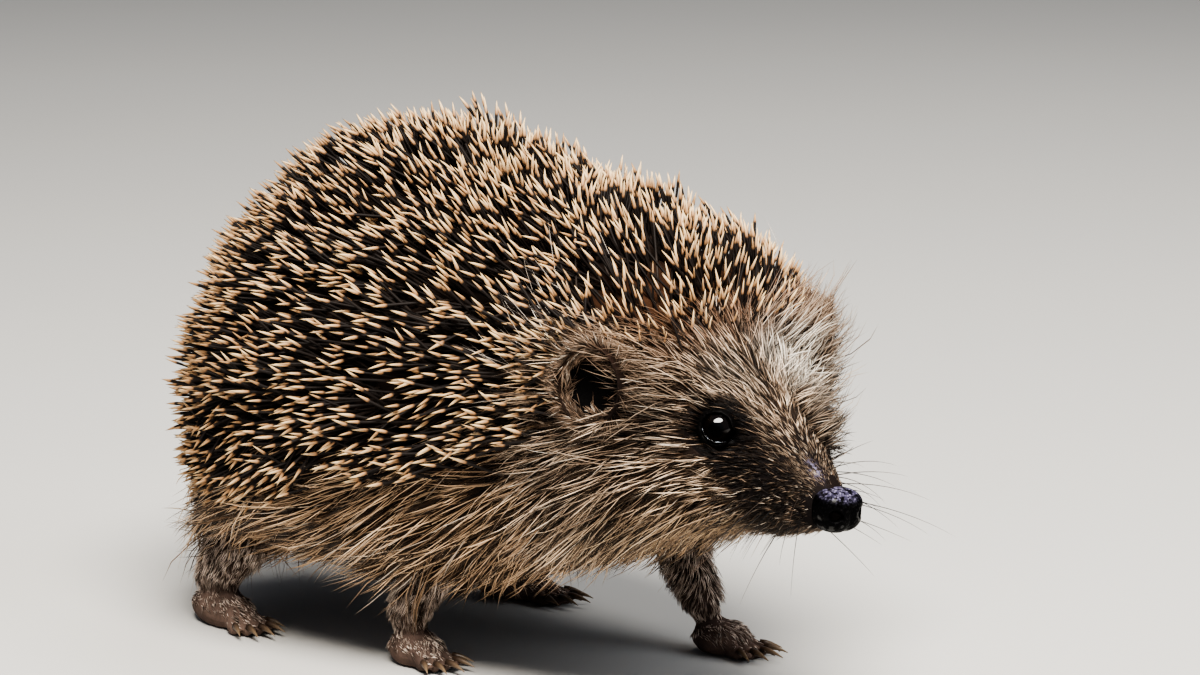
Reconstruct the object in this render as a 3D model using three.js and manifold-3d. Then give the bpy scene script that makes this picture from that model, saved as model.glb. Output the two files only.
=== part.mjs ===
// A young European hedgehog at life size, standing in mid-stride with its head turned a little to its right.
// Millimetres, +X towards the nose, +Y to the animal's left, +Z up, paws flat on z = 0.
// The solids reach out to the tips of the spines and fur; thin cuts part the head, neck and trunk.
import * as THREE from "three";
import { mergeVertices } from "three/addons/utils/BufferGeometryUtils.js";
import Module from "manifold-3d";

const wasm = await Module();
wasm.setup();

// ---------------------------------------------------------------- driving dimensions
const GAP = 0.3; // clearance between neighbouring solids
const BODY_LENGTH = 186; // nose tip to rump, along the spine
const NOSE_REACH = 120; // nose tip ahead of the middle of the trunk, before centring
const HEAD_TURN = THREE.MathUtils.degToRad(12); // head to the animal's right
const BEND = { front: 58, back: 98 }; // the neck's bend, as distances behind the nose tip
const CUTS = { headNeck: 64, neckTrunk: 88 }; // where the solids part, behind the nose tip

// Cross-sections from nose to rump: distance behind the nose tip, height of the top, of the widest
// level and of the bottom, half the width, and how square the upper half is (2 is an ellipse), all to
// the tips of the coat.
const SECTIONS = {
  snoutTip: { behind: 5, top: 54.4, wide: 49.6, bottom: 44.7, half: 5.1, square: 2 },
  snout: { behind: 12, top: 60.6, wide: 51.6, bottom: 42.8, half: 8.4, square: 2.1 },
  muzzle: { behind: 19, top: 67.8, wide: 55.5, bottom: 41.8, half: 12.8, square: 2.3 },
  eyes: { behind: 27, top: 75.6, wide: 59.5, bottom: 40.8, half: 19, square: 2.4 },
  cheeks: { behind: 35, top: 83.8, wide: 62, bottom: 38.2, half: 27.2, square: 2.4 },
  ears: { behind: 44, top: 93.4, wide: 64, bottom: 34.2, half: 35, square: 2.45 },
  crown: { behind: 55, top: 101.6, wide: 64, bottom: 29.4, half: 40.5, square: 2.45 },
  nape: { behind: 70, top: 105.6, wide: 62, bottom: 24.4, half: 44, square: 2.35 },
  shoulders: { behind: 88, top: 110, wide: 60, bottom: 20, half: 47, square: 2.2 },
  ribs: { behind: 106, top: 114.3, wide: 58, bottom: 19, half: 50, square: 2.1 },
  back: { behind: 124, top: 118, wide: 58, bottom: 19, half: 51.5, square: 2.05 },
  hips: { behind: 145, top: 116, wide: 56, bottom: 18, half: 52.2, square: 2.05 },
  rump: { behind: 186, top: 106, wide: 50, bottom: 9, half: 48.5, square: 2.05 },
};
// Behind this station the loft closes as a superellipse.
const RUMP_ROUND = { from: 124, upper: 2.38, lower: 4 };
const LOWER_SQUARE = 3.2; // the same for the lower half, where the skirt of long fur hangs
const AROUND = 28; // points round a section
const ALONG = 28; // sections along the body
const EASE = 0.09; // how much closer the sections stand at the two ends

const EYE = { radius: 3.6, behind: 25.2, out: 12.6, height: 64.1 };
// The bare dish round each eye, sunk in the fur and facing forwards and out.
const SOCKET = { deep: 2.6, wide: 6, tall: 4.9, ahead: 3.4, facing: 50 };
const NOSE = { length: 9.4, width: 10.4, height: 9.2, centre: 3.0, level: 49.3 };
const NOSTRIL = { radius: 1.25, out: 3.1, ahead: 3.2, up: -0.3 };
const EAR = { behind: 43, out: 32, height: 72.5, tall: 19, wide: 15, deep: 10, wall: 1.3, lip: 1.2, facing: 50 };
const TAIL = { length: 17, rootRadius: 4.5, tipRadius: 1.6, height: 36, drop: 38 };

// Legs, each from inside the flesh to the wrist or ankle: places are before centring.
const LEGS = {
  fore_left: { root: [46, 22, 44], joint: [47, 24, 22], ankle: [55, 23, 8.5], radii: [10.5, 6.8, 5.4] },
  fore_right: { root: [30, -25, 44], joint: [18, -28, 23], ankle: [9, -26, 8.5], radii: [10.5, 6.8, 5.4] },
  hind_left: { root: [-22, 25, 44], joint: [-8, 29, 24], ankle: [-12, 28, 8.5], radii: [14, 9, 5.4] },
  hind_right: { root: [-30, -26, 44], joint: [-34, -30, 24], ankle: [-48, -29, 8.5], radii: [14, 9, 5.4] },
};
const PAWS = {
  fore: { palm: [7.5, 5.8, 4.4], ahead: 4, toe: [3.4, 1.7, 1.9], reach: 8.2, fan: 62, claw: 5.2 },
  hind: { palm: [11, 5.6, 4.6], ahead: 6, toe: [3.6, 1.7, 1.9], reach: 12.6, fan: 44, claw: 5.2 },
};
const PAW_TURN = { fore_left: 4, fore_right: -8, hind_left: 10, hind_right: -12 }; // degrees
const TOES = 5;
const CLAW_RADIUS = 0.95;

// ---------------------------------------------------------------- materials
const matte = (color, roughness) => new THREE.MeshStandardMaterial({ color, roughness, metalness: 0 });
const MATERIALS = {
  spines: matte(0x6f5a48, 0.7),
  fur: matte(0x8a7360, 0.85),
  pinna: matte(0x4a3a33, 0.7),
  legFur: matte(0x7a6358, 0.8),
  pad: matte(0x5e4a44, 0.65),
  nose: matte(0x0c0a0b, 0.3),
  eye: matte(0x050506, 0.06),
};

// ---------------------------------------------------------------- solids and meshes
function solidOf(geometry) {
  const bare = geometry.clone();
  bare.deleteAttribute("normal");
  bare.deleteAttribute("uv");
  const merged = mergeVertices(bare, 1e-4);
  return new wasm.Manifold(
    new wasm.Mesh({
      numProp: 3,
      vertProperties: merged.attributes.position.array,
      triVerts: new Uint32Array(merged.index.array),
    }),
  );
}

function meshOf(name, solid, material) {
  const made = solid.getMesh();
  const geometry = new THREE.BufferGeometry();
  geometry.setAttribute("position", new THREE.BufferAttribute(made.vertProperties, 3));
  geometry.setIndex(new THREE.BufferAttribute(made.triVerts, 1));
  geometry.computeVertexNormals();
  const mesh = new THREE.Mesh(geometry, material);
  mesh.name = name;
  return mesh;
}

// A sphere squashed to three half-sizes, turned about Z and moved to its place.
function ellipsoid(halves, at, turn = 0, around = 12, down = 7) {
  return new THREE.SphereGeometry(1, around, down)
    .rotateX(Math.PI / 2)
    .scale(...halves)
    .rotateZ(turn)
    .translate(...at);
}

// A closed tube through rings of points, each ring running clockwise as seen from the last end back to
// the first; both ends close on a single point.
function closedTube(rings, firstPoint, lastPoint) {
  const count = rings[0].length;
  const positions = [firstPoint, ...rings.flat(), lastPoint].flat();
  const last = positions.length / 3 - 1;
  const at = (ring, k) => 1 + ring * count + (k % count);
  const faces = [];
  for (let k = 0; k < count; k++) {
    faces.push(0, at(0, k), at(0, k + 1));
    faces.push(last, at(rings.length - 1, k + 1), at(rings.length - 1, k));
    for (let ring = 0; ring + 1 < rings.length; ring++) {
      faces.push(at(ring, k), at(ring + 1, k + 1), at(ring, k + 1));
      faces.push(at(ring, k), at(ring + 1, k), at(ring + 1, k + 1));
    }
  }
  return new THREE.BufferGeometry()
    .setAttribute("position", new THREE.Float32BufferAttribute(positions, 3))
    .setIndex(faces);
}

// ---------------------------------------------------------------- the spine and the body's sections
// Where the spine is, seen from above, at a distance behind the nose tip, and which way it heads.
const headingAt = (behind) => -HEAD_TURN * (1 - THREE.MathUtils.smoothstep(behind, BEND.front, BEND.back));

function spineAt(behind) {
  const steps = 60;
  const point = { x: NOSE_REACH, y: 0, heading: headingAt(behind) };
  for (let i = 0; i < steps; i++) {
    const heading = headingAt((behind * (i + 0.5)) / steps);
    point.x -= (Math.cos(heading) * behind) / steps;
    point.y -= (Math.sin(heading) * behind) / steps;
  }
  return point;
}

// The trunk's own line is y = 0, so the nose lies off it by what the bend adds.
const NOSE_SIDE = -spineAt(BODY_LENGTH).y;
const onSpine = (behind, out, height) => {
  const { x, y, heading } = spineAt(behind);
  return [x - Math.sin(heading) * out, y + NOSE_SIDE + Math.cos(heading) * out, height];
};

const stations = Object.values(SECTIONS);
const sectionSizes = new THREE.CubicInterpolant(
  stations.map((s) => s.behind),
  stations.flatMap((s) => [s.top, s.wide, s.bottom, s.half, s.square]),
  5,
);

const signedPower = (value, power) => Math.sign(value) * Math.abs(value) ** power;

// One section's ring. grow moves it outwards, for cutting clearances.
function bodyRing(behind, grow) {
  const [top, wide, bottom, half, square] = sectionSizes.evaluate(behind);
  const past = Math.max(0, (behind - RUMP_ROUND.from) / (BODY_LENGTH - RUMP_ROUND.from));
  const closing = (power) => (1 - past ** power) ** (1 / power);
  const ring = [];
  for (let k = 0; k < AROUND; k++) {
    const angle = (2 * Math.PI * k) / AROUND;
    const upper = Math.sin(angle) >= 0;
    const power = 2 / (upper ? square : LOWER_SQUARE);
    const close = closing(upper ? RUMP_ROUND.upper : RUMP_ROUND.lower);
    const rise = (upper ? top - wide : wide - bottom) * close + grow;
    const out = signedPower(Math.cos(angle), power) * (half * closing(RUMP_ROUND.upper) + grow);
    ring.push(onSpine(behind, out, wide + signedPower(Math.sin(angle), power) * rise));
  }
  return ring;
}

function bodySolid(grow) {
  const first = SECTIONS.snoutTip.behind;
  const rings = [];
  for (let i = 0; i < ALONG; i++) {
    // Closer sections towards the snout and the rump, where the shape turns fastest.
    const share = i / ALONG;
    const eased = share ** 1.12 - EASE * Math.sin(2 * Math.PI * share ** 1.12);
    rings.push(bodyRing(first + (BODY_LENGTH - first) * eased, grow));
  }
  const nose = onSpine(first - 1.2 - grow, 0, SECTIONS.snoutTip.wide);
  const tail = onSpine(BODY_LENGTH + grow, 0, SECTIONS.rump.wide);
  return solidOf(closedTube(rings, nose, tail));
}

// A block that holds everything ahead of (1) or behind (-1) an upright cut across the spine, less
// half the gap.
function halfSpace(cut, way) {
  const span = 400;
  return solidOf(
    new THREE.BoxGeometry(span, span, span)
      .translate(way * (span + GAP) / 2, 0, 0)
      .rotateZ(spineAt(cut).heading)
      .translate(...onSpine(cut, 0, 0)),
  );
}

// ---------------------------------------------------------------- head pieces
const side = { left: 1, right: -1 };

const eyeball = (sign, grow) =>
  solidOf(
    ellipsoid(Array(3).fill(EYE.radius + grow), onSpine(EYE.behind, sign * EYE.out, EYE.height), 0, 14, 9),
  );

function socket(sign) {
  const facing = THREE.MathUtils.degToRad(SOCKET.facing);
  const behind = EYE.behind - SOCKET.ahead * Math.cos(facing);
  const out = sign * (EYE.out + SOCKET.ahead * Math.sin(facing));
  const halves = [SOCKET.deep, SOCKET.wide, SOCKET.tall];
  return solidOf(ellipsoid(halves, onSpine(behind, out, EYE.height), -HEAD_TURN + sign * facing, 12, 7));
}

function nosePad(grow) {
  const halves = [NOSE.length / 2 + grow, NOSE.width / 2 + grow, NOSE.height / 2 + grow];
  const pad = solidOf(ellipsoid(halves, onSpine(NOSE.centre, 0, NOSE.level), -HEAD_TURN, 16, 11));
  return grow ? pad : Object.values(side).reduce((made, sign) => made.subtract(nostril(sign)), pad);
}

const nostril = (sign) =>
  solidOf(
    ellipsoid(
      [NOSTRIL.radius * 1.3, NOSTRIL.radius, NOSTRIL.radius],
      onSpine(NOSE.centre - NOSTRIL.ahead, sign * NOSTRIL.out, NOSE.level + NOSTRIL.up),
      -HEAD_TURN,
      10,
      6,
    ),
  );

// The ear is an open bowl sunk in the side of the head, its hollow facing forwards and out.
const earTurn = (sign) => -HEAD_TURN + sign * THREE.MathUtils.degToRad(EAR.facing);

function earBall(sign, grow) {
  const halves = [EAR.deep / 2 + grow, EAR.wide / 2 + grow, EAR.tall / 2 + grow];
  return solidOf(ellipsoid(halves, onSpine(EAR.behind, sign * EAR.out, EAR.height), earTurn(sign), 14, 9));
}

function earShell(sign) {
  const turn = earTurn(sign);
  const forward = EAR.wall + EAR.lip;
  const [x, y, z] = onSpine(EAR.behind, sign * EAR.out, EAR.height);
  const hollow = [EAR.deep / 2 - EAR.wall + EAR.lip, EAR.wide / 2 - EAR.wall, EAR.tall / 2 - EAR.wall];
  const at = [x + forward * Math.cos(turn), y + forward * Math.sin(turn), z];
  return earBall(sign, 0).subtract(solidOf(ellipsoid(hollow, at, turn, 12, 7)));
}

// ---------------------------------------------------------------- legs, paws and tail
// A round limb through three points, with a radius at each, closed by domes.
function limb(points, radii, around = 12, along = 8) {
  const path = new THREE.CatmullRomCurve3(points.map((p) => new THREE.Vector3(...p)));
  const frames = path.computeFrenetFrames(along);
  const radius = new THREE.CubicInterpolant([0, 0.5, 1], radii, 1);
  const ends = path.getPoints(along);
  const rings = ends.map((centre, i) =>
    Array.from({ length: around }, (_, k) => {
      const angle = (-2 * Math.PI * k) / around;
      const r = radius.evaluate(i / along)[0] * (i === 0 || i === along ? 0.8 : 1);
      return centre
        .clone()
        .addScaledVector(frames.normals[i], r * Math.cos(angle))
        .addScaledVector(frames.binormals[i], r * Math.sin(angle))
        .toArray();
    }),
  );
  const cap = (i, sign) =>
    ends[i].clone().addScaledVector(frames.tangents[i], sign * radii[i ? 2 : 0] * 0.4).toArray();
  const tube = closedTube(rings, cap(0, -1), cap(along, 1));
  const made = solidOf(tube);
  return made;
}

function pawSolid(name) {
  const kind = PAWS[name.split("_")[0]];
  const [x, y] = LEGS[name].ankle;
  const turn = THREE.MathUtils.degToRad(PAW_TURN[name]);
  const place = (geometry) => solidOf(geometry.rotateZ(turn).translate(x, y, 0));
  let paw = place(ellipsoid(kind.palm, [kind.ahead, 0, kind.palm[2] * 0.72]));
  for (let toe = 0; toe < TOES; toe++) {
    const share = toe / (TOES - 1) - 0.5;
    const spread = THREE.MathUtils.degToRad(share * kind.fan);
    const reach = kind.reach * (1 - 0.9 * share * share);
    const foot = [kind.ahead + reach * Math.cos(spread), reach * Math.sin(spread) * 0.95, kind.toe[2] * 0.8];
    paw = paw.add(place(ellipsoid(kind.toe, foot, spread, 8, 5)));
    const claw = new THREE.ConeGeometry(CLAW_RADIUS, kind.claw, 5)
      .rotateZ(-Math.PI / 2)
      .translate(kind.claw / 2, 0, 0)
      .rotateY(THREE.MathUtils.degToRad(12))
      .translate(kind.toe[0] * 0.7, 0, 0.7)
      .rotateZ(spread)
      .translate(...foot);
    paw = paw.add(place(claw));
  }
  const ground = solidOf(new THREE.BoxGeometry(60, 60, 20).translate(x, y, -10));
  return paw.subtract(ground);
}

// The short tail hangs from the rump's lower edge.
function tailSolid() {
  const [x, y, z] = onSpine(BODY_LENGTH - 8, 0, TAIL.height);
  const drop = THREE.MathUtils.degToRad(TAIL.drop);
  const along = (share) => [
    x - TAIL.length * share * Math.cos(drop),
    y,
    z - TAIL.length * share * Math.sin(drop),
  ];
  const middle = (TAIL.rootRadius + TAIL.tipRadius) / 2;
  return limb([along(0), along(0.5), along(1)], [TAIL.rootRadius, middle, TAIL.tipRadius], 10, 6);
}

// ---------------------------------------------------------------- assembly
const part = new THREE.Group();
const flesh = bodySolid(0);
const fleshGrown = bodySolid(GAP);

let head = flesh.intersect(halfSpace(CUTS.headNeck, 1)).subtract(nosePad(GAP));
for (const [which, sign] of Object.entries(side)) {
  head = head.subtract(eyeball(sign, GAP)).subtract(socket(sign)).subtract(earBall(sign, GAP));
  part.add(meshOf(`eye_${which}`, eyeball(sign, 0), MATERIALS.eye));
  part.add(meshOf(`ear_${which}`, earShell(sign), MATERIALS.pinna));
}
part.add(meshOf("nose", nosePad(0), MATERIALS.nose));
part.add(meshOf("head", head, MATERIALS.fur));
const neck = flesh.intersect(halfSpace(CUTS.headNeck, -1)).intersect(halfSpace(CUTS.neckTrunk, 1));
part.add(meshOf("neck", neck, MATERIALS.spines));
part.add(meshOf("trunk", flesh.intersect(halfSpace(CUTS.neckTrunk, -1)), MATERIALS.spines));
part.add(meshOf("tail", tailSolid().subtract(fleshGrown), MATERIALS.legFur));

for (const [name, leg] of Object.entries(LEGS)) {
  const paw = pawSolid(name);
  const tube = limb([leg.root, leg.joint, leg.ankle], leg.radii).subtract(fleshGrown);
  const lift = solidOf(new THREE.BoxGeometry(80, 80, 40).translate(leg.ankle[0], leg.ankle[1], -20 + GAP));
  const clear = pawSolid(name).translate([0, 0, GAP]).add(pawSolid(name)).add(lift);
  part.add(meshOf(`leg_${name}`, tube.subtract(clear), MATERIALS.legFur));
  part.add(meshOf(`paw_${name}`, paw, MATERIALS.pad));
}

// The middle of the outline stands over the origin, with the soles on the floor.
const outline = new THREE.Box3().setFromObject(part);
const middle = outline.getCenter(new THREE.Vector3());
for (const mesh of part.children) mesh.geometry.translate(-middle.x, -middle.y, -outline.min.z);

export default part;
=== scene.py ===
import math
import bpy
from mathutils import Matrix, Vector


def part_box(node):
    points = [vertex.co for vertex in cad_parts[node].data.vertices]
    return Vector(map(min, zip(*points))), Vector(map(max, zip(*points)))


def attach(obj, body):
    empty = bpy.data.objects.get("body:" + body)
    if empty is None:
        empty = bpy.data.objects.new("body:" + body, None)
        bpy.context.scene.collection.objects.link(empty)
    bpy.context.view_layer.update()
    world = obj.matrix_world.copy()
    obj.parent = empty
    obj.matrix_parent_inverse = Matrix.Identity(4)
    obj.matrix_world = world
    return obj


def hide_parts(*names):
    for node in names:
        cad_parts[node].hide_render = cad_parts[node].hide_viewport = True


bl_info = {
    "name": "Young hedgehog model",
    "version": (1, 0, 0),
    "blender": (4, 5, 0),
    "location": "View3D > Sidebar > Hedgehog",
    "description": "Builds a life-size hedgehog's skin, spines, fur, eyes, nose and claws over its solids",
    "category": "Add Mesh",
}

from collections import namedtuple

import bpy
import numpy as np
from bpy.props import FloatProperty, FloatVectorProperty, IntProperty, PointerProperty
from mathutils import Vector
from mathutils.bvhtree import BVHTree
from mathutils.kdtree import KDTree

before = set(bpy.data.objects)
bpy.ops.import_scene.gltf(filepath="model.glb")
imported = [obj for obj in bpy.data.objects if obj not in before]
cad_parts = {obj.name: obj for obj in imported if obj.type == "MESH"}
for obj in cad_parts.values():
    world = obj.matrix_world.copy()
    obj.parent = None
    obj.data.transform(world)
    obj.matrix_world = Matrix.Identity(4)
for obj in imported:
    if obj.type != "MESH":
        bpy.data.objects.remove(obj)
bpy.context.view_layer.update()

# Shapes are worked out in millimetres and written to Blender in metres.
MM = 1000.0
SIDES = {"left": 1, "right": -1}
LEG_NAMES = ("fore_left", "fore_right", "hind_left", "hind_right")
KINDS = {
    "body": ("head", "neck", "trunk"),
    "tail": ("tail",),
    "ear": ("ear_left", "ear_right"),
    **{kind: tuple(f"{kind}_{leg}" for leg in LEG_NAMES) for kind in ("leg", "paw")},
    "eye": ("eye_left", "eye_right"),
    "nose": ("nose",),
}
FLESH = [node for kind, nodes in KINDS.items() if kind not in ("eye", "nose") for node in nodes]


# ------------------------------------------------------------------ small sums
def box_mm(node):
    return [np.array(corner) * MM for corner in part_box(node)]


def middle(node):
    low, high = box_mm(node)
    return (low + high) / 2


def unit(v):
    return v / np.maximum(np.linalg.norm(v, axis=-1, keepdims=True), 1e-9)


def ramp(x, start, end):
    """0 before start, 1 after end, smooth between; start may be after end."""
    t = np.clip((x - start) / (end - start), 0, 1)
    return t * t * (3 - 2 * t)


def mix(a, b, share):
    return a + (b - a) * share


def turned(angle):
    """The matrix of a turn about the upright."""
    c, s = math.cos(angle), math.sin(angle)
    return np.array([[c, -s, 0], [s, c, 0], [0, 0, 1.0]])


def bump(x, centre, width):
    return np.exp(-(((x - centre) / width) ** 2))


# ------------------------------------------------------------------ landmarks of the body
NOSE = middle("nose")
EYE = {s: middle(f"eye_{s}") for s in SIDES}
EAR = {s: middle(f"ear_{s}") for s in SIDES}
UP = np.array([0.0, 0.0, 1.0])
FORWARD = unit((NOSE - (EYE["left"] + EYE["right"]) / 2) * [1, 1, 0])
LEFTWARD = np.cross(UP, FORWARD)
NOSE_BEHIND = 3.0  # the nose pad's middle, behind the nose tip's station
BODY_LENGTH = 186.0
TRUNK_START = BODY_LENGTH + box_mm("trunk")[0][0]
NECK_BEND = (58.0, 98.0)
EYE_RADIUS = (box_mm("eye_left")[1] - box_mm("eye_left")[0])[2] / 2

# The widest level of the body at distances behind the nose tip.
AXIS_BEHIND = [5, 12, 19, 27, 35, 44, 55, 70, 88, 106, 124, 145, 186]
AXIS_HEIGHT = [49.6, 51.6, 55.5, 59.5, 62, 64, 64, 62, 60, 58, 58, 56, 50]

# Where the spines end and the fur begins: the lowest height of a spine's tip at distances behind the nose.
EDGE_BEHIND = [30, 35.5, 38, 41, 44, 48, 51, 52.5, 56, 62, 78, 95, 112, 128, 150, 170, 190]
EDGE_HEIGHT = [130, 88, 82, 82.5, 84.5, 85, 80, 69, 62.5, 58.5, 52.5, 48, 44, 39, 33, 29, 27]


def places(points):
    """Distance behind the nose tip, distance out to the left and height of points, all in mm."""
    ahead = points[:, :2] - NOSE[:2]
    behind = NOSE_BEHIND - ahead @ FORWARD[:2]
    share = ramp(behind, *NECK_BEND)
    return (
        mix(behind, TRUNK_START - points[:, 0], share),
        mix(ahead @ LEFTWARD[:2], points[:, 1], share),
        points[:, 2],
    )


def heading(behind):
    """The way the body faces at each distance behind the nose."""
    share = ramp(behind, *NECK_BEND)[:, None]
    return unit(FORWARD * (1 - share) + np.array([1.0, 0, 0]) * share)


def turn_round(behind, out, height):
    """The angle round the line through the body's widest levels: 0 is up, and left is positive."""
    return np.arctan2(out, height - np.interp(behind, AXIS_BEHIND, AXIS_HEIGHT))


def round_body(behind, out, height):
    """0 along the back, 1 along the belly, 0.5 at the widest level."""
    return np.abs(turn_round(behind, np.abs(out), height)) / math.pi


def spine_edge(behind):
    return np.interp(behind, EDGE_BEHIND, EDGE_HEIGHT)


def ear_frame(side):
    """The way the ear's hollow faces, and the level way across it."""
    turn = math.radians(50)
    face = FORWARD * math.cos(turn) + LEFTWARD * SIDES[side] * math.sin(turn)
    return face, np.cross(UP, face)


def eye_frame(side):
    """The eye's own axes: outwards, forwards along the lids, and up."""
    sign = SIDES[side]
    outward = unit(FORWARD * 0.64 + LEFTWARD * sign * 0.76 + UP * 0.10)
    along = unit(FORWARD - outward * (FORWARD @ outward) - UP * 0.38)
    along = unit(along - outward * (along @ outward))
    upward = np.cross(outward, along)
    return outward, along, upward * np.sign(upward[2])


# ------------------------------------------------------------------ meshes
def deselect():
    bpy.ops.object.select_all(action="DESELECT")


def make_active(obj):
    deselect()
    obj.select_set(True)
    bpy.context.view_layer.objects.active = obj


def link(name, mesh):
    obj = bpy.data.objects.new(name, mesh)
    bpy.context.scene.collection.objects.link(obj)
    return obj


def node_copy(node, name):
    """A copy of a CAD node with its loose triangles joined up."""
    obj = link(name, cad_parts[node].data.copy())
    obj.data.materials.clear()
    make_active(obj)
    bpy.ops.object.mode_set(mode="EDIT")
    bpy.ops.mesh.select_all(action="SELECT")
    bpy.ops.mesh.remove_doubles(threshold=1e-5)
    bpy.ops.object.mode_set(mode="OBJECT")
    return obj


def apply_modifier(obj, kind, **settings):
    make_active(obj)
    modifier = obj.modifiers.new(kind.title(), kind)
    for key, value in settings.items():
        setattr(modifier, key, value)
    bpy.ops.object.modifier_apply(modifier=modifier.name)


def join_copies(copies, name):
    deselect()
    for copy in copies:
        copy.select_set(True)
    bpy.context.view_layer.objects.active = copies[0]
    bpy.ops.object.join()
    piece = bpy.context.view_layer.objects.active
    piece.name = piece.data.name = name
    return piece


def read(items, field, width, kind=float):
    numbers = np.empty(len(items) * width, kind)
    items.foreach_get(field, numbers)
    return numbers.reshape(-1, width)


def points_of(mesh):
    return read(mesh.vertices, "co", 3) * MM


def set_points(mesh, points):
    mesh.vertices.foreach_set("co", (points / MM).astype(np.float32).ravel())
    mesh.update()


def normals_of(mesh):
    return read(mesh.vertex_normals, "vector", 3)


def edges_of(mesh):
    return read(mesh.edges, "vertices", 2, np.int64)


def triangles_of(mesh):
    mesh.calc_loop_triangles()
    return read(mesh.loop_triangles, "vertices", 3, np.int64)


def relax(values, edges, rounds, share=1.0):
    """Moves each point's values half way to the mean of its neighbours, or less where share says."""
    n = len(values)
    flat = values.reshape(n, -1).copy()
    count = np.maximum(np.bincount(edges.ravel(), minlength=n), 1)[:, None]
    share = np.broadcast_to(np.asarray(share, float).reshape(-1, 1), (n, 1)) * 0.5
    a, b = edges.T
    for _ in range(rounds):
        total = [np.bincount(a, v[b], n) + np.bincount(b, v[a], n) for v in flat.T]
        flat += share * (np.stack(total, axis=1) / count - flat)
    return flat.reshape(values.shape)


def put_attributes(mesh, values):
    for name, numbers in values.items():
        layer = mesh.attributes.new(name, "FLOAT", "POINT")
        layer.data.foreach_set("value", np.ascontiguousarray(numbers, np.float32))


def shade_smooth(mesh):
    mesh.polygons.foreach_set("use_smooth", np.ones(len(mesh.polygons), bool))
    mesh.update()


def subdivide_near(obj, chosen, cuts):
    """Cuts the faces whose vertices are all chosen."""
    mesh = obj.data
    make_active(obj)
    bpy.ops.object.mode_set(mode="EDIT")
    bpy.ops.mesh.select_mode(type="VERT")
    bpy.ops.mesh.select_all(action="DESELECT")
    bpy.ops.object.mode_set(mode="OBJECT")
    mesh.vertices.foreach_set("select", chosen)
    bpy.ops.object.mode_set(mode="EDIT")
    bpy.ops.mesh.select_mode(type="VERT")
    bpy.ops.mesh.select_mode(type="FACE")
    bpy.ops.mesh.subdivide(number_cuts=cuts)
    bpy.ops.object.mode_set(mode="OBJECT")


def finish_piece(obj, replaces, material):
    obj.data.materials.clear()
    obj.data.materials.append(material)
    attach(obj, "root")
    if replaces:
        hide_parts(*replaces)
    return obj


# ------------------------------------------------------------------ markings shared by skin and coat
def markings(points):
    """Shares of each marking at points of the body: dark mask, pale forehead with painted light on its left
    side, rusty brow, painted shade on the underside, and the buff jaw darkened as painted shade.
    """
    behind, out, height = places(points)
    around = round_body(behind, out, height)
    # The dark muzzle, the bare ring of the eye and the stripe that joins them.
    dark = ramp(behind, 26, 17) * ramp(around, 0.06, 0.3) * (1 - 0.45 * ramp(around, 0.78, 0.95))
    dark = np.maximum(dark, 0.75 * ramp(behind, 17, 10))
    for side, sign in SIDES.items():
        eye = EYE[side]
        pad = NOSE - FORWARD * 11.5 + LEFTWARD * sign * 7.5 + UP * 1.5
        line = pad - eye
        t = np.clip(((points - eye) @ line) / (line @ line), 0, 1)
        off = np.linalg.norm(points - eye - t[:, None] * line, axis=1)
        dark = np.maximum(dark, mix(2.4, 1.0, t) * ramp(off, mix(7.2, 7.2, t), mix(5.6, 4.4, t)))
    dark = np.maximum(dark, 0.85 * bump(behind, 35, 7) * bump(around, 0.42, 0.12))
    # The forehead's pale band is the coat's own pale hair; it is broader and stronger on the left as painted
    # light, where the light falls brightest on the brow.
    pale = np.where(out > 2, 1.35 * bump(out, 14, 8), 0.15 * bump(out, -7, 6))
    pale = pale * bump(behind, 30, 8) * ramp(around, 0.45, 0.3)
    rust = ramp(behind, 31, 38) * ramp(behind, 58, 46) * bump(around, 0.14, 0.2)
    # The underside is darkened: painted shade under the belly.
    under = ramp(around, 0.72, 0.95) * ramp(behind, 45, 70)
    # Under the jaw the fur is tinted buff and darker: the hue is the coat's own, the darkening is painted
    # shade.
    buff = ramp(around, 0.6, 0.8) * ramp(behind, 70, 45) * ramp(behind, 14, 24)
    return {"dark": dark, "pale": pale, "rust": rust, "under": under, "buff": buff}


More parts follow.
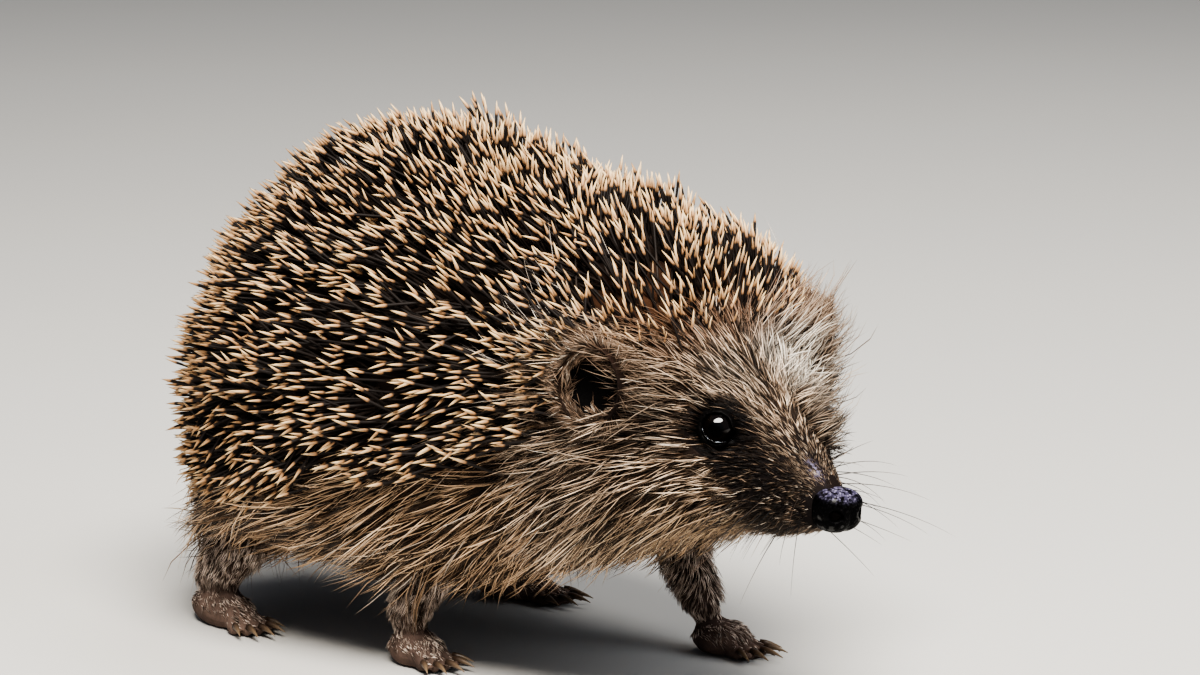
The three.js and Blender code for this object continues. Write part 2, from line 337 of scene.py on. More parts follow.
# ------------------------------------------------------------------ materials
class Nodes:
    """A short way to write a material's nodes. Colours are given without their alpha."""

    def __init__(self, tree, shader=None):
        self.tree, self.shader = tree, shader

    def add(self, kind, **settings):
        node = self.tree.nodes.new(kind)
        for key, value in settings.items():
            setattr(node, key, value)
        return node

    def feed(self, socket, value):
        """Wires a socket to another one, or sets its value."""
        if isinstance(value, bpy.types.NodeSocket):
            self.tree.links.new(value, socket)
        else:
            socket.default_value = (*value, 1.0) if socket.type == "RGBA" else value

    def fill(self, node, **inputs):
        for name, value in inputs.items():
            self.feed(node.inputs[name.replace("_", " ")], value)
        return node.outputs

    def shade(self, **inputs):
        self.fill(self.shader, **inputs)

    def group(self, tree, **inputs):
        return self.fill(self.add("ShaderNodeGroup", node_tree=tree), **inputs)

    def attribute(self, name):
        return self.add("ShaderNodeAttribute", attribute_name=name).outputs["Fac"]

    def place(self):
        return self.add("ShaderNodeTexCoord").outputs["Object"]

    def math(self, operation, a, b=0.0, c=0.0):
        node = self.add("ShaderNodeMath", operation=operation)
        for socket, value in zip(node.inputs, (a, b, c)):
            self.feed(socket, value)
        return node.outputs[0]

    def times(self, a, b):
        return self.math("MULTIPLY", a, b)

    def span(self, value, start, end, low=0.0, high=1.0):
        """low before start and high after end, smooth between."""
        node = self.add("ShaderNodeMapRange", interpolation_type="SMOOTHSTEP")
        return self.fill(node, Value=value, From_Min=start, From_Max=end, To_Min=low, To_Max=high)["Result"]

    def blend(self, share, a, b, kind="MIX"):
        node = self.add("ShaderNodeMix", data_type="RGBA", blend_type=kind)
        for index, value in ((0, share), (6, a), (7, b)):
            self.feed(node.inputs[index], value)
        return node.outputs[2]

    def tint(self, colour, by):
        return self.blend(1.0, colour, by, "MULTIPLY")

    def noise(self, scale, detail, roughness=0.5):
        node = self.add("ShaderNodeTexNoise")
        return self.fill(node, Vector=self.place(), Scale=scale, Detail=detail, Roughness=roughness)["Fac"]

    def cells(self, feature, scale):
        node = self.add("ShaderNodeTexVoronoi", feature=feature)
        return self.fill(node, Vector=self.place(), Scale=scale)["Distance"]

    def bump(self, height, strength, distance):
        node = self.add("ShaderNodeBump")
        return self.fill(node, Height=height, Strength=strength, Distance=distance)["Normal"]


def new_group(name, given, made):
    """A node group with the given inputs, each with its usual value, and the outputs it makes."""
    group = bpy.data.node_groups.new(name, "ShaderNodeTree")
    for socket, value in given.items():
        kind = "Float" if isinstance(value, float) else "Color"
        new = group.interface.new_socket(socket, in_out="INPUT", socket_type=f"NodeSocket{kind}")
        new.default_value = value if kind == "Float" else (*value, 1.0)
    for socket, kind in made.items():
        group.interface.new_socket(socket, in_out="OUTPUT", socket_type=f"NodeSocket{kind}")
    n = Nodes(group)
    return group, n, n.add("NodeGroupInput").outputs, n.add("NodeGroupOutput")


def marks_group():
    """Lays the body's shared markings over a colour, with the painted light and painted shade that some of
    them carry.
    """
    name = "Body markings"
    if name in bpy.data.node_groups:
        return bpy.data.node_groups[name]
    colours = bpy.context.scene.hedgehog_colours
    given = {"Colour": (0.2, 0.15, 0.1), "Strength": 1.0, "Shine along": 1.0}
    group, n, given, out = new_group(name, given, {"Colour": "Color"})
    colour = given["Colour"]

    def share(mark, most):
        return n.times(n.attribute(mark), n.times(given["Strength"], most))

    # The pale mark also carries painted light on the left brow.
    for mark, most, hair in (("pale", 0.92, colours.pale_fur), ("rust", 0.9, colours.rust)):
        colour = n.blend(share(mark, most), colour, n.blend(given["Shine along"], colour, hair))
    # buff darkens the jaw's underside and under darkens the belly, both painted shade; buff's hue is the
    # coat's own.
    for mark, most, tint_and_shade in (("buff", 0.7, (0.62, 0.54, 0.38)), ("under", 0.5, (0.42, 0.34, 0.3))):
        colour = n.blend(share(mark, most), colour, n.tint(colour, tint_and_shade))
    n.fill(out, Colour=n.blend(share("dark", 0.98), colour, colours.mask))
    return group


def hair_group():
    """A hair's colour from root to tip, with each hair a little different."""
    name = "Hair colour"
    if name in bpy.data.node_groups:
        return bpy.data.node_groups[name]
    given = {"Root": (0.03, 0.02, 0.012), "Middle": (0.2, 0.13, 0.08), "Tip": (0.6, 0.45, 0.3)}
    given.update({"Rise": 0.35, "Markings": 1.0})
    group, n, given, out = new_group(name, given, {"Colour": "Color", "Roughness": "Float"})
    root, rise = given["Root"], given["Rise"]
    along, tone = n.attribute("along"), n.attribute("tone")
    # Underfur has a tone under a half. Guard hairs are paler, and pale from nearer their roots.
    guard = n.span(tone, 0.48, 0.52)
    own, other = (n.math("FRACT", n.times(tone, by)) for by in (13.7, 41.3))
    shifted = n.math("ADD", along, n.times(n.math("SUBTRACT", own, 0.5), 0.3))
    shifted = n.math("ADD", shifted, n.times(guard, 0.1))
    colour = n.blend(n.span(shifted, 0.02, rise), root, given["Middle"])
    colour = n.blend(n.span(shifted, rise, n.math("ADD", rise, 0.35)), colour, given["Tip"])
    # Underfur is darkened to a small part of its colour: a darker underfur, and painted shade in the gaps
    # among the guard hairs.
    colour = n.blend(guard, n.tint(colour, (0.075, 0.06, 0.05)), colour)
    colour = n.tint(colour, n.blend(other, (0.34, 0.29, 0.26), (1.45, 1.44, 1.42)))
    # A few guard hairs are dark all the way and a few are nearly white.
    colour = n.blend(n.span(own, 0.16, 0.1, 0.0, 0.8), colour, root)
    white = n.times(n.span(own, 0.84, 0.92, 0.0, 0.6), guard)
    colour = n.blend(n.times(white, n.span(along, 0.15, 0.5)), colour, (0.9, 0.8, 0.68))
    colour = n.tint(colour, n.blend(n.attribute("lock"), (0.36, 0.33, 0.31), (1.2, 1.2, 1.19)))
    # Each hair takes the marks more or less, so that fine pale hairs still show in the dark ones.
    taken = n.times(n.span(other, 0.05, 0.5, 0.12), n.span(tone, 0.48, 0.52, 0.38))
    strength, shine = n.times(given["Markings"], taken), n.span(along, 0.1, 0.6)
    marked = n.group(marks_group(), Colour=colour, Strength=strength, Shine_along=shine)
    n.fill(out, Colour=marked["Colour"], Roughness=n.span(along, 0.0, 1.0, 0.62, 0.42))
    return group


def new_material(name, **settings):
    material = bpy.data.materials.new(name)
    material.use_nodes = True
    n = Nodes(material.node_tree, material.node_tree.nodes["Principled BSDF"])
    n.shade(**settings)
    return material, n


def hair_material(name, root, middle_colour, tip, rise, marked=1.0):
    material, n = new_material(name, Specular_IOR_Level=0.22)
    hair = n.group(hair_group(), Root=root, Middle=middle_colour, Tip=tip, Rise=rise, Markings=marked)
    n.shade(Base_Color=hair["Colour"], Roughness=hair["Roughness"])
    return material


def spine_material():
    colours = bpy.context.scene.hedgehog_colours
    material, n = new_material("Banded spine horn", Specular_IOR_Level=0.16)
    tip, tone, grain = n.attribute("from_tip"), n.attribute("tone"), n.noise(900, 2)
    # Bands by the distance from the point, in millimetres.
    edge = n.math("ADD", tip, n.times(n.math("SUBTRACT", tone, 0.5), 1.7))
    cream = n.blend(n.span(edge, 1.0, 3.2), colours.spine_tip, colours.spine_base)
    cream = n.blend(n.span(tone, 0.45, 1.0, 0.0, 0.75), cream, (0.3, 0.165, 0.075))
    colour = n.blend(n.span(edge, 2.9, 3.8), cream, colours.spine_band)
    colour = n.blend(n.span(edge, 9.5, 13.0), colour, (0.03, 0.021, 0.017))
    colour = n.blend(n.span(tip, 0.45, 0.0, 0.0, 0.5), colour, (0.2, 0.11, 0.05))
    colour = n.blend(n.times(grain, 0.4), colour, n.tint(colour, (0.6, 0.55, 0.5)))
    rough = n.span(edge, 2.9, 3.8, 0.45, 0.6)
    n.shade(Base_Color=colour, Roughness=rough, Normal=n.bump(grain, 0.3, 0.00005))
    return material


def skin_material():
    colours = bpy.context.scene.hedgehog_colours
    material, n = new_material("Hedgehog skin", Specular_IOR_Level=0.06)
    broad, fine = n.noise(90, 4), n.noise(1400, 3, 0.6)
    crease = n.span(n.cells("DISTANCE_TO_EDGE", 1100), 0.0, 0.12)
    lid, bridge_sheen = n.attribute("lid"), n.attribute("bridge_sheen")
    colour = n.blend(n.span(broad, 0.35, 0.65), colours.under_fur, colours.skin)
    colour = n.group(marks_group(), Colour=colour, Shine_along=0.25)["Colour"]
    paw = n.blend(n.span(broad, 0.3, 0.7), (0.05, 0.035, 0.03), (0.15, 0.105, 0.085))
    # The paw's skin is lighter on its small cells and darker in the creases between them: painted shade in
    # the creases.
    paw = n.blend(n.times(crease, 0.5), paw, n.tint(paw, (1.5, 1.4, 1.35)))
    colour = n.blend(n.attribute("bare"), colour, paw)
    # The lids are near-black bare skin; the mouth's groove, which shares this mark, is painted near-black as
    # shade in the groove.
    colour = n.blend(lid, colour, (0.0014, 0.0011, 0.0011))
    # The ear's hollow is painted near-black: painted shade inside the ear.
    colour = n.blend(n.attribute("hollow"), colour, (0.0008, 0.0005, 0.0005))
    # A painted lilac reflection of the sky on the bridge behind the nose pad.
    colour = n.blend(n.times(bridge_sheen, n.span(fine, 0.44, 0.6)), colour, (0.2, 0.18, 0.27))
    colour = n.blend(n.times(fine, 0.35), colour, n.tint(colour, (0.55, 0.5, 0.48)))
    rough = n.span(n.math("MAXIMUM", lid, n.times(bridge_sheen, 0.5)), 0.0, 1.0, 0.75, 0.5)
    height = n.math("ADD", n.times(crease, 0.6), fine)
    n.shade(Base_Color=colour, Roughness=rough, Normal=n.bump(height, 0.5, 0.0001))
    return material


# ------------------------------------------------------------------ the skin
# The coat's depth over the skin, by distance behind the nose and for the back, the side and the underside.
DEPTH_BEHIND = [0, 12, 20, 27, 35, 44, 55, 75, 160, 190]
DEPTH_BACK = [0.2, 0.4, 0.9, 1.8, 3.8, 7.0, 10.0, 11.0, 11.0, 9.0]
DEPTH_SIDE = [0.2, 0.4, 0.8, 1.5, 3.0, 4.6, 8.0, 10.0, 10.0, 9.0]
DEPTH_UNDER = [0.2, 0.6, 1.2, 2.2, 3.2, 4.5, 5.0, 5.0, 5.0, 5.0]
# The same where another kind of node than the body's lies under the coat.
OWN_DEPTH = {"tail": 1.2, "ear": 0.25, "leg": 0.9, "paw": 0.15, "nose": 0.6, "eye": 1.2}
SWELL = 0.4  # how far the copies are swollen, so that the gaps between them close
# The part of the skin with the fewest faces: how far behind the nose and how high it starts, and the share
# of its faces that goes.
PLAIN_BEHIND, PLAIN_HEIGHT, PLAIN_LESS = 66, 34, 0.72
# The parts with the most faces: round the eyes, before a distance on the snout, and the paws' height.
FINE_EYE, FINE_SNOUT, FINE_PAW = 8.0, 17, 9
UNDER_PAW = 0.15  # how far the pads stay over the floor
SKIN = {}


def coat_depth(behind, around):
    rows = (DEPTH_BACK, DEPTH_SIDE, DEPTH_UNDER)
    back, side, under = (np.interp(behind, DEPTH_BEHIND, row) for row in rows)
    depth = mix(back, side, ramp(around, 0.1, 0.45))
    return mix(depth, under, ramp(around, 0.52, 0.78))


def joined_shell(voxel):
    """All nodes as one closed mesh, a search tree of their faces, and each face's kind of node."""
    points, faces, owners, copies = [], [], [], []
    for kind, nodes in enumerate(KINDS.values()):
        for node in nodes:
            copy = node_copy(node, f"copy_{node}")
            apply_modifier(copy, "DISPLACE", strength=SWELL / MM, mid_level=0.0)
            triangles = triangles_of(copy.data)
            faces.append(triangles + sum(map(len, points)))
            points.append(points_of(copy.data))
            owners += [kind] * len(triangles)
            copies.append(copy)
    tree = BVHTree.FromPolygons(np.concatenate(points).tolist(), np.concatenate(faces).tolist())
    shell = join_copies(copies, "skin")
    apply_modifier(shell, "REMESH", mode="VOXEL", voxel_size=voxel)
    # The back needs fewer faces than the head, the legs and the paws.
    behind, _, height = places(points_of(shell.data))
    coarse = np.flatnonzero((behind > PLAIN_BEHIND) & (height > PLAIN_HEIGHT))
    group = shell.vertex_groups.new(name="coarse")
    group.add(coarse.tolist(), 1.0, "REPLACE")
    share = len(coarse) / len(behind)
    apply_modifier(shell, "DECIMATE", ratio=1 - share * PLAIN_LESS, vertex_group="coarse")
    shell.vertex_groups.clear()
    return shell, tree, np.array(owners)


def lids_and_mouth(points, normals):
    """Moves skin points into the lids round each eye and the line of the mouth, and marks both."""
    points = points.copy()
    lid = np.zeros(len(points))
    for side in SIDES:
        outward, along, upward = eye_frame(side)
        offset = points - EYE[side]
        x, y, h = offset @ along, offset @ upward, offset @ outward
        flat = np.hypot(x, y)
        near = (h > -1.5) & (flat < 9)
        # The lids' opening is a little longer than high and runs out into a corner at the front.
        front = ramp(x, 0.5, 4.2)
        reach = np.hypot(x / (3.35 + 0.8 * front), y / (3.05 - 1.2 * front))

        def dome(radius):
            return np.sqrt(np.maximum(radius**2 - np.minimum(flat, radius - 0.02) ** 2, 0))

        rim = np.maximum(dome(EYE_RADIUS + 0.5), 1.1 - 0.25 * (flat - 3.4))
        fold = rim + 0.2 * bump(reach, 1.3, 0.14) - 0.22 * bump(reach, 1.55, 0.12)
        shape = mix(dome(EYE_RADIUS - 0.35), fold, ramp(reach, 0.96, 1.1))
        wanted = mix(shape, h, ramp(reach, 1.3, 2.2))
        points[near] += ((wanted - h)[:, None] * outward)[near]
        lid = np.maximum(lid, np.where(near, ramp(reach, 2.1, 1.5), 0))
    behind, out, height = places(points)
    level = np.interp(behind, [2, 8, 16, 24, 30], [44.6, 45.2, 46.0, 47.0, 49.0])
    groove = bump(height, level, 0.55) * ramp(behind, 26, 20) * ramp(behind, 1, 4)
    chin = bump(out, 0, 0.5) * (height < 46) * ramp(behind, 8, 4)
    points -= normals * (0.75 * groove + 0.35 * chin)[:, None]
    # The upper lip stands a little over the lower jaw and swells at the whisker pads.
    pad = bump(behind, 12, 6) * bump(height, level + 3.4, 2.6)
    points += normals * (0.45 * pad)[:, None]
    return points, lid, groove


# Each kind of paw: how far its palm is ahead of the ankle, its toes' length and reach, and their fan in
# degrees.
Paw = namedtuple("Paw", "ahead toe reach fan")
PAWS = {"fore": Paw(4.0, 3.4, 8.2, 62.0), "hind": Paw(6.0, 3.6, 12.6, 44.0)}
TOES, TOE_HEIGHT, CLAW_LENGTH = 5, 1.9, 5.6
# Each ankle's place, measured back from the nose tip and out to the left, and the paw's turn in degrees.
ANKLES = {
    "fore_left": (65, 23, 4),
    "fore_right": (111, -26, -8),
    "hind_left": (132, 28, 10),
    "hind_right": (168, -29, -12),
}
NOSE_TIP = NOSE[0] + NOSE_BEHIND * FORWARD[0]


def paw_of(leg):
    """The kind of a leg's paw, the place under its ankle, and its turn."""
    back, y, turn = ANKLES[leg]
    return PAWS[leg.split("_")[0]], np.array([NOSE_TIP - back, y, 0]), turned(math.radians(turn))


def toe_grooves(points):
    """How much each point of a paw lies in a groove between two toes."""
    groove = np.zeros(len(points))
    for leg in LEG_NAMES:
        kind, ankle, turn = paw_of(leg)
        local = (points - ankle) @ turn
        ahead, aside = local[:, 0] - kind.ahead, local[:, 1]
        angle = np.degrees(np.arctan2(aside, np.maximum(ahead, 0.1)))
        between = np.abs((angle / (kind.fan / (TOES - 1))) % 1 - 0.5)
        near = ramp(ahead, 0.4 * kind.reach, 0.75 * kind.reach) * (np.abs(angle) < kind.fan / 2)
        groove = np.maximum(groove, bump(between, 0, 0.2) * near * (np.hypot(ahead, aside) < kind.reach + 6))
    return groove


FLOW_ROWS, FLOW_STEP, FLOW_TURNS = 50, 4.0, 30  # the cells' rows, their length and how many go round


def smooth_flow(normals, behind, out, height, weight):
    """The body's normals without its small forms: means over wide cells of the body's unwrap."""
    angle = turn_round(behind, out, height)
    row = np.clip((behind + 4) / FLOW_STEP, 0.5, FLOW_ROWS - 1.5)
    column = (angle / (2 * math.pi) + 0.5) * FLOW_TURNS
    cells = np.zeros((FLOW_ROWS, FLOW_TURNS, 3))
    np.add.at(cells, (row.astype(int), column.astype(int) % FLOW_TURNS), normals * weight[:, None])
    for _ in range(2):
        cells = (np.roll(cells, 1, 1) + 2 * cells + np.roll(cells, -1, 1)) / 4
        ends = np.concatenate([cells[:1], cells, cells[-1:]])
        cells = (ends[:-2] + 2 * cells + ends[2:]) / 4
    cells = unit(cells)
    row, column = row - 0.5, column - 0.5
    r, c = np.floor(row).astype(int), np.floor(column).astype(int)
    u, v = (row - r)[:, None], (column - c)[:, None]
    near, far = c % FLOW_TURNS, (c + 1) % FLOW_TURNS
    lower, upper = (mix(cells[k, near], cells[k, far], v) for k in (r, r + 1))
    return unit(mix(lower, upper, u))


class HEDGEHOG_OT_skin(bpy.types.Operator):
    """Make the one skin that stands for every node of flesh"""

    bl_idname = "hedgehog.skin"
    bl_label = "Skin"

    def execute(self, context):
        shell, tree, owners = joined_shell(context.scene.hedgehog_sizes.skin_voxel)
        mesh = shell.data
        for side in SIDES:
            subdivide_near(shell, np.linalg.norm(points_of(mesh) - EYE[side], axis=1) < FINE_EYE, 2)
        behind, out, height = places(points_of(mesh))
        subdivide_near(shell, (behind < FINE_SNOUT) | ((height < FINE_PAW) & (behind > 40)), 1)
        points, edges = points_of(mesh), edges_of(mesh)
        kind = owners[[tree.find_nearest(p)[2] for p in points.tolist()]]
        share = {name: relax((kind == k).astype(float), edges, 3) for k, name in enumerate(KINDS)}
        normals = unit(relax(normals_of(mesh), edges, 4))
        outer = points - normals * SWELL
        behind, out, height = places(outer)
        around = round_body(behind, out, height)
        depth = coat_depth(behind, around)
        for name, own in OWN_DEPTH.items():
            depth = mix(depth, own, np.clip(share[name] * 1.3, 0, 1))
        thin = np.clip((share["ear"] + share["paw"] + share["nose"]) * 2, 0, 1)
        depth = relax(depth, edges, 14, share=1 - thin)
        # The swelling comes off with the depth; thin parts keep their shape.
        inner = points - normals * (depth + SWELL)[:, None]
        inner = relax(inner, edges, 12, share=(1 - thin) * ramp(behind, 10, 40))
        inner = relax(inner, edges, 2, share=1 - 0.6 * thin)
        set_points(mesh, inner)
        normals = unit(relax(normals_of(mesh), edges, 2))
        inner, lid, groove = lids_and_mouth(inner, normals)
        inner -= normals * (0.75 * share["paw"] * toe_grooves(inner))[:, None]
        inner[:, 2] = np.maximum(inner[:, 2], UNDER_PAW)
        set_points(mesh, inner)
        hollow = np.zeros(len(points))
        for side in SIDES:
            face, across = ear_frame(side)
            offset = outer - EAR[side]
            inside = ramp(np.hypot((offset @ across) / 5.8, offset[:, 2] / 6.8), 1.05, 0.85)
            inside = inside * ramp(offset @ face, 3.5, 1.5) * ramp(normals @ face, 0.0, 0.3)
            hollow = np.maximum(hollow, inside)
        marks = markings(outer)
        # The mouth's groove is marked with the lids, which paints it near-black: painted shade in the groove.
        marks["lid"] = np.maximum(lid, 0.8 * groove)
        marks["bare"] = np.clip(share["paw"] + 0.6 * share["leg"] * ramp(height, 18, 9), 0, 1)
        # The bridge behind the nose pad carries a painted lilac reflection of the sky.
        marks["bridge_sheen"] = bump(behind, 8.2, 1.6) * bump(out, -1.2, 0.95) * ramp(around, 0.3, 0.2) * (1 - lid)
        # The ear's hollow carries painted shade.
        marks["hollow"] = np.clip(hollow * share["ear"] * 1.5, 0, 1)
        put_attributes(mesh, marks)
        shade_smooth(mesh)
        finish_piece(shell, FLESH, skin_material())
        normals, triangles = unit(relax(normals_of(mesh), edges, 6)), triangles_of(mesh)
        from_eyes = np.min([np.linalg.norm(outer - EYE[side], axis=1) for side in SIDES], axis=0)
        flow = smooth_flow(normals, behind, out, height, share["body"] * ramp(from_eyes, 6, 9))
        SKIN.update(outer=outer, inner=inner, normals=normals, flow=flow, share=share, hollow=marks["hollow"])
        SKIN.update(behind=behind, out=out, height=height, around=around, triangles=triangles)
        SKIN["tree"] = BVHTree.FromPolygons(inner.tolist(), triangles.tolist())
        return {"FINISHED"}


# ------------------------------------------------------------------ roots and hairs
def need_skin():
    if not SKIN:
        raise RuntimeError("make the skin first")


def scatter(rng, count, weight, on="inner"):
    """Random places on the skin, as triangle corners and their shares; weight is per vertex."""
    corners = SKIN["triangles"]
    p = SKIN[on][corners]
    area = np.linalg.norm(np.cross(p[:, 1] - p[:, 0], p[:, 2] - p[:, 0]), axis=1)
    chance = np.cumsum(area * weight[corners].mean(1))
    face = np.searchsorted(chance, rng.random(count) * chance[-1])
    u, v = rng.random(count), rng.random(count)
    flip = u + v > 1
    u, v = np.where(flip, 1 - u, u), np.where(flip, 1 - v, v)
    return corners[face], np.stack([1 - u - v, u, v], axis=1)


def at(values, corners, shares):
    return np.einsum("ij,ij...->i...", shares, values[corners])


def tree_of(points):
    tree = KDTree(len(points))
    for i, p in enumerate(points.tolist()):
        tree.insert(p, i)
    tree.balance()
    return tree


def spread(points, gap, rng):
    """Indices of points no nearer to each other than gap."""
    tree, alive = tree_of(points), np.ones(len(points), bool)
    kept = []
    for i in rng.permutation(len(points)):
        if alive[i]:
            kept.append(i)
            for _, j, _ in tree.find_range(points[i], gap):
                alive[j] = False
    return np.array(kept)


def nearest_of(points, seeds):
    tree = tree_of(seeds)
    return np.array([tree.find(p)[1] for p in points.tolist()])


TUFT_PATCH = 0.003  # how wide each tuft's patch is on the unwrap


def on_unwrap(share):
    """Places from 0 to 1 drawn in from the unwrap's edge, so that every patch stays on it."""
    return 0.01 + 0.98 * share


def unwrap_roots(points):
    """Each root's place on an unwrap of the body round its spine."""
    behind, out, height = places(points)
    flat = np.stack([turn_round(behind, out, height), behind], axis=1)
    low, high = flat.min(0), flat.max(0)
    return on_unwrap((flat - low) / np.maximum(high - low, 1e-6))


def tubes(name, paths, radii, sides, over, values, roots_uv):
    """One mesh of closed tapering tubes. paths is tubes x rings x 3, and each ends in a point."""
    count, rings = paths.shape[:2]
    tangent = unit(np.gradient(paths, axis=1))
    across = unit(np.cross(tangent, over[:, None, :]))
    over = np.cross(across, tangent)
    angle = np.arange(sides) * 2 * math.pi / sides
    ring = across[:, :-1, None] * np.cos(angle)[:, None] + over[:, :-1, None] * np.sin(angle)[:, None]
    shell = paths[:, :-1, None] + radii[:, :-1, None, None] * ring
    points = np.concatenate([shell.reshape(count, -1, 3), paths[:, -1:]], axis=1)
    each = points.shape[1]
    # One tube's faces, then the same for all.
    loops = list(range(sides))
    for r in range(rings - 2):
        for k in range(sides):
            a, b = r * sides + k, r * sides + (k + 1) % sides
            loops += [a, a + sides, b + sides, b]
    last = (rings - 2) * sides
    for k in range(sides):
        loops += [last + k, each - 1, last + (k + 1) % sides]
    loops = (np.array(loops)[None] + (np.arange(count) * each)[:, None]).ravel()
    sizes = np.tile([sides] + [4] * sides * (rings - 2) + [3] * sides, count)
    mesh = bpy.data.meshes.new(name)
    mesh.vertices.add(count * each)
    mesh.vertices.foreach_set("co", (points / MM).astype(np.float32).ravel())
    mesh.loops.add(len(loops))
    mesh.loops.foreach_set("vertex_index", loops.astype(np.int32))
    mesh.polygons.add(len(sizes))
    mesh.polygons.foreach_set("loop_start", (np.cumsum(sizes) - sizes).astype(np.int32))
    mesh.update(calc_edges=True)
    share = np.append(np.repeat(np.arange(rings - 1) / (rings - 1), sides), 1.0)
    round_share = np.append(np.tile(np.arange(sides) / sides, rings - 1), 0.5)
    uv = roots_uv[:, None] + TUFT_PATCH * (np.stack([round_share, share], axis=1) - 0.5)[None]
    layer = mesh.uv_layers.new(name="OFBake")
    layer.data.foreach_set("uv", uv.reshape(-1, 2)[loops].astype(np.float32).ravel())
    attributes = {"along": np.tile(share, count)}
    for key, value in values.items():
        if value.ndim == 1:
            attributes[key] = np.repeat(value, each)
        else:
            attributes[key] = np.hstack([np.repeat(value[:, :-1], sides, axis=1), value[:, -1:]]).ravel()
    put_attributes(mesh, attributes)
    shade_smooth(mesh)
    return link(name, mesh)


ROOT_DEPTH = 0.25  # how far each hair's root is under the skin


def grow(roots, normals, lie, lift, fall, length, bend, drop, rings):
    """Hair paths that leave the skin at lift, sink by fall towards the tip, and bend sideways."""
    side = np.cross(normals, lie)
    step = (length / (rings - 1))[:, None]
    path = [roots - normals * ROOT_DEPTH]
    for r in range(rings - 1):
        t = (r + 0.5) / (rings - 1)
        rise = (lift - fall * t)[:, None]
        turn = (bend * t)[:, None]
        way = (lie * np.cos(turn) + side * np.sin(turn)) * np.cos(rise) + normals * np.sin(rise)
        way[:, 2] -= drop * t
        path.append(path[-1] + unit(way) * step)
    return np.stack(path, axis=1)


def lock(paths, leaders, own, pull, rng):
    """Draws hairs together into pointed locks, each towards its nearest leading hair."""
    strength = (pull * rng.uniform(0.4, 1.3, len(leaders)))[own][:, None]
    t = np.linspace(0, 1, paths.shape[1])[None] ** 1.1
    return paths + np.clip(strength * t, 0, 0.94)[:, :, None] * (paths[leaders][own] - paths)


LOWEST_HAIR = 0.5  # no hair goes nearer to the floor than this

# How the fur lies: behind, around, then the pull down and out against one part back, the lift in degrees,
# the length in mm and the spread of the hairs' directions in degrees.
COMB = np.array(
    [
        (6, 0, 0, 0.1, 16, 1.5, 16), (7, 0.5, 0.1, 0, 16, 1.8, 18), (7, 1, 0.1, 0.2, 24, 2.2, 22),
        (15, 0, 0, 0.15, 16, 2.6, 14), (15, 0.5, 0.15, 0, 18, 3, 18), (15, 0.8, 0.4, 0.1, 26, 4.6, 20),
        (16, 1, 0.2, 0.2, 32, 5, 24), (23, 0, 0, 0.25, 24, 6, 13), (23, 0.3, 0, 0.35, 20, 5.4, 13),
        (22, 0.5, 0.05, 0.1, 13, 3.6, 12), (24, 0.75, 0.35, 0, 20, 8.5, 14), (24, 1, 0.3, 0.3, 32, 8, 20),
        (32, 0, 0, 0.2, 24, 8.5, 11), (31, 0.25, 0, 0.45, 22, 9, 11), (33, 0.48, 0.05, 0.1, 17, 11, 9),
        (34, 0.7, 0.45, 0, 19, 15, 11), (34, 1, 0.5, 0.3, 34, 10, 18), (38, 0.05, -0.1, 0.2, 34, 7.5, 13),
        (40, 0.3, -0.2, 0.4, 34, 9.5, 12), (43, 0.5, 0.2, 0, 24, 15, 10), (46, 0.65, 0.6, 0, 20, 21, 10),
        (46, 0.8, 1, 0, 24, 19, 13), (46, 1, 0.8, 0.3, 36, 12, 18), (60, 0.45, 0.15, 0, 24, 20, 9),
        (60, 0.65, 0.62, 0, 21, 24, 10), (60, 0.85, 0.9, 0.1, 28, 21, 14), (75, 0.6, 0.42, 0, 21, 25, 9),
        (75, 0.8, 0.66, 0, 26, 24, 12), (95, 0.6, 0.34, 0, 21, 25, 9), (95, 0.8, 0.56, 0, 26, 24, 12),
        (120, 0.62, 0.3, 0, 21, 24, 10), (120, 0.82, 0.5, 0, 28, 22, 13),
        (150, 0.65, 0.36, 0, 24, 24, 11), (150, 0.82, 0.75, 0, 25, 28, 13),
        (168, 0.82, 1.1, 0, 24, 30, 13), (162, 0.95, 1.3, 0.1, 26, 27, 15),
        (180, 0.65, 0.9, 0, 28, 24, 15), (90, 1, 0.1, 0.2, 34, 10, 22), (140, 1, 0.1, 0.2, 34, 10, 22),
        (184, 0.9, 1.2, 0.1, 30, 25, 17),
    ]
)


def combed(behind, around):
    """Rows of the comb's numbers at places of the body, blended from the nearest rows."""
    wide = 3.5 + 0.17 * behind[:, None]
    far = ((behind[:, None] - COMB[:, 0]) / wide) ** 2 + ((around[:, None] - COMB[:, 1]) / 0.11) ** 2
    weight = np.exp(-0.5 * (far - far.min(1, keepdims=True)))
    return (weight @ COMB[:, 2:]) / weight.sum(1, keepdims=True)


def body_roots(rng, count, weight):
    places_of = scatter(rng, count, weight)
    keys = ("inner", "outer", "normals", "flow", "behind", "out", "around", "height")
    picked = {k: at(SKIN[k], *places_of) for k in keys}
    picked["normals"], picked["flow"] = unit(picked["normals"]), unit(picked["flow"])
    return picked


def comb_fur(roots):
    """The way, lift, length and stray of the fur at roots on the body."""
    down, outwards, lift, length, stray = combed(roots["behind"], roots["around"]).T
    face = heading(roots["behind"])
    left = np.cross(UP, face) * np.sign(roots["out"])[:, None]
    return -face - UP * down[:, None] + left * outwards[:, None], lift, length, stray


def ears_open(rng, paths):
    """False for hairs that would hang before the hollow of an ear, with a soft edge."""
    clear = np.ones(len(paths), bool)
    edge = rng.uniform(0.6, 1.08, len(paths))[:, None]
    for side in SIDES:
        face, across = ear_frame(side)
        offset = paths[:, 1:] - EAR[side]
        inside = np.hypot((offset @ across) / 5.2, (offset[..., 2] + 0.9) / 7.2) < edge
        clear &= ~(inside & (np.abs(offset @ face - 4.0) < 7.0)).any(1)
    return clear


def keep(roots, chosen):
    return {k: v[chosen] for k, v in roots.items()}


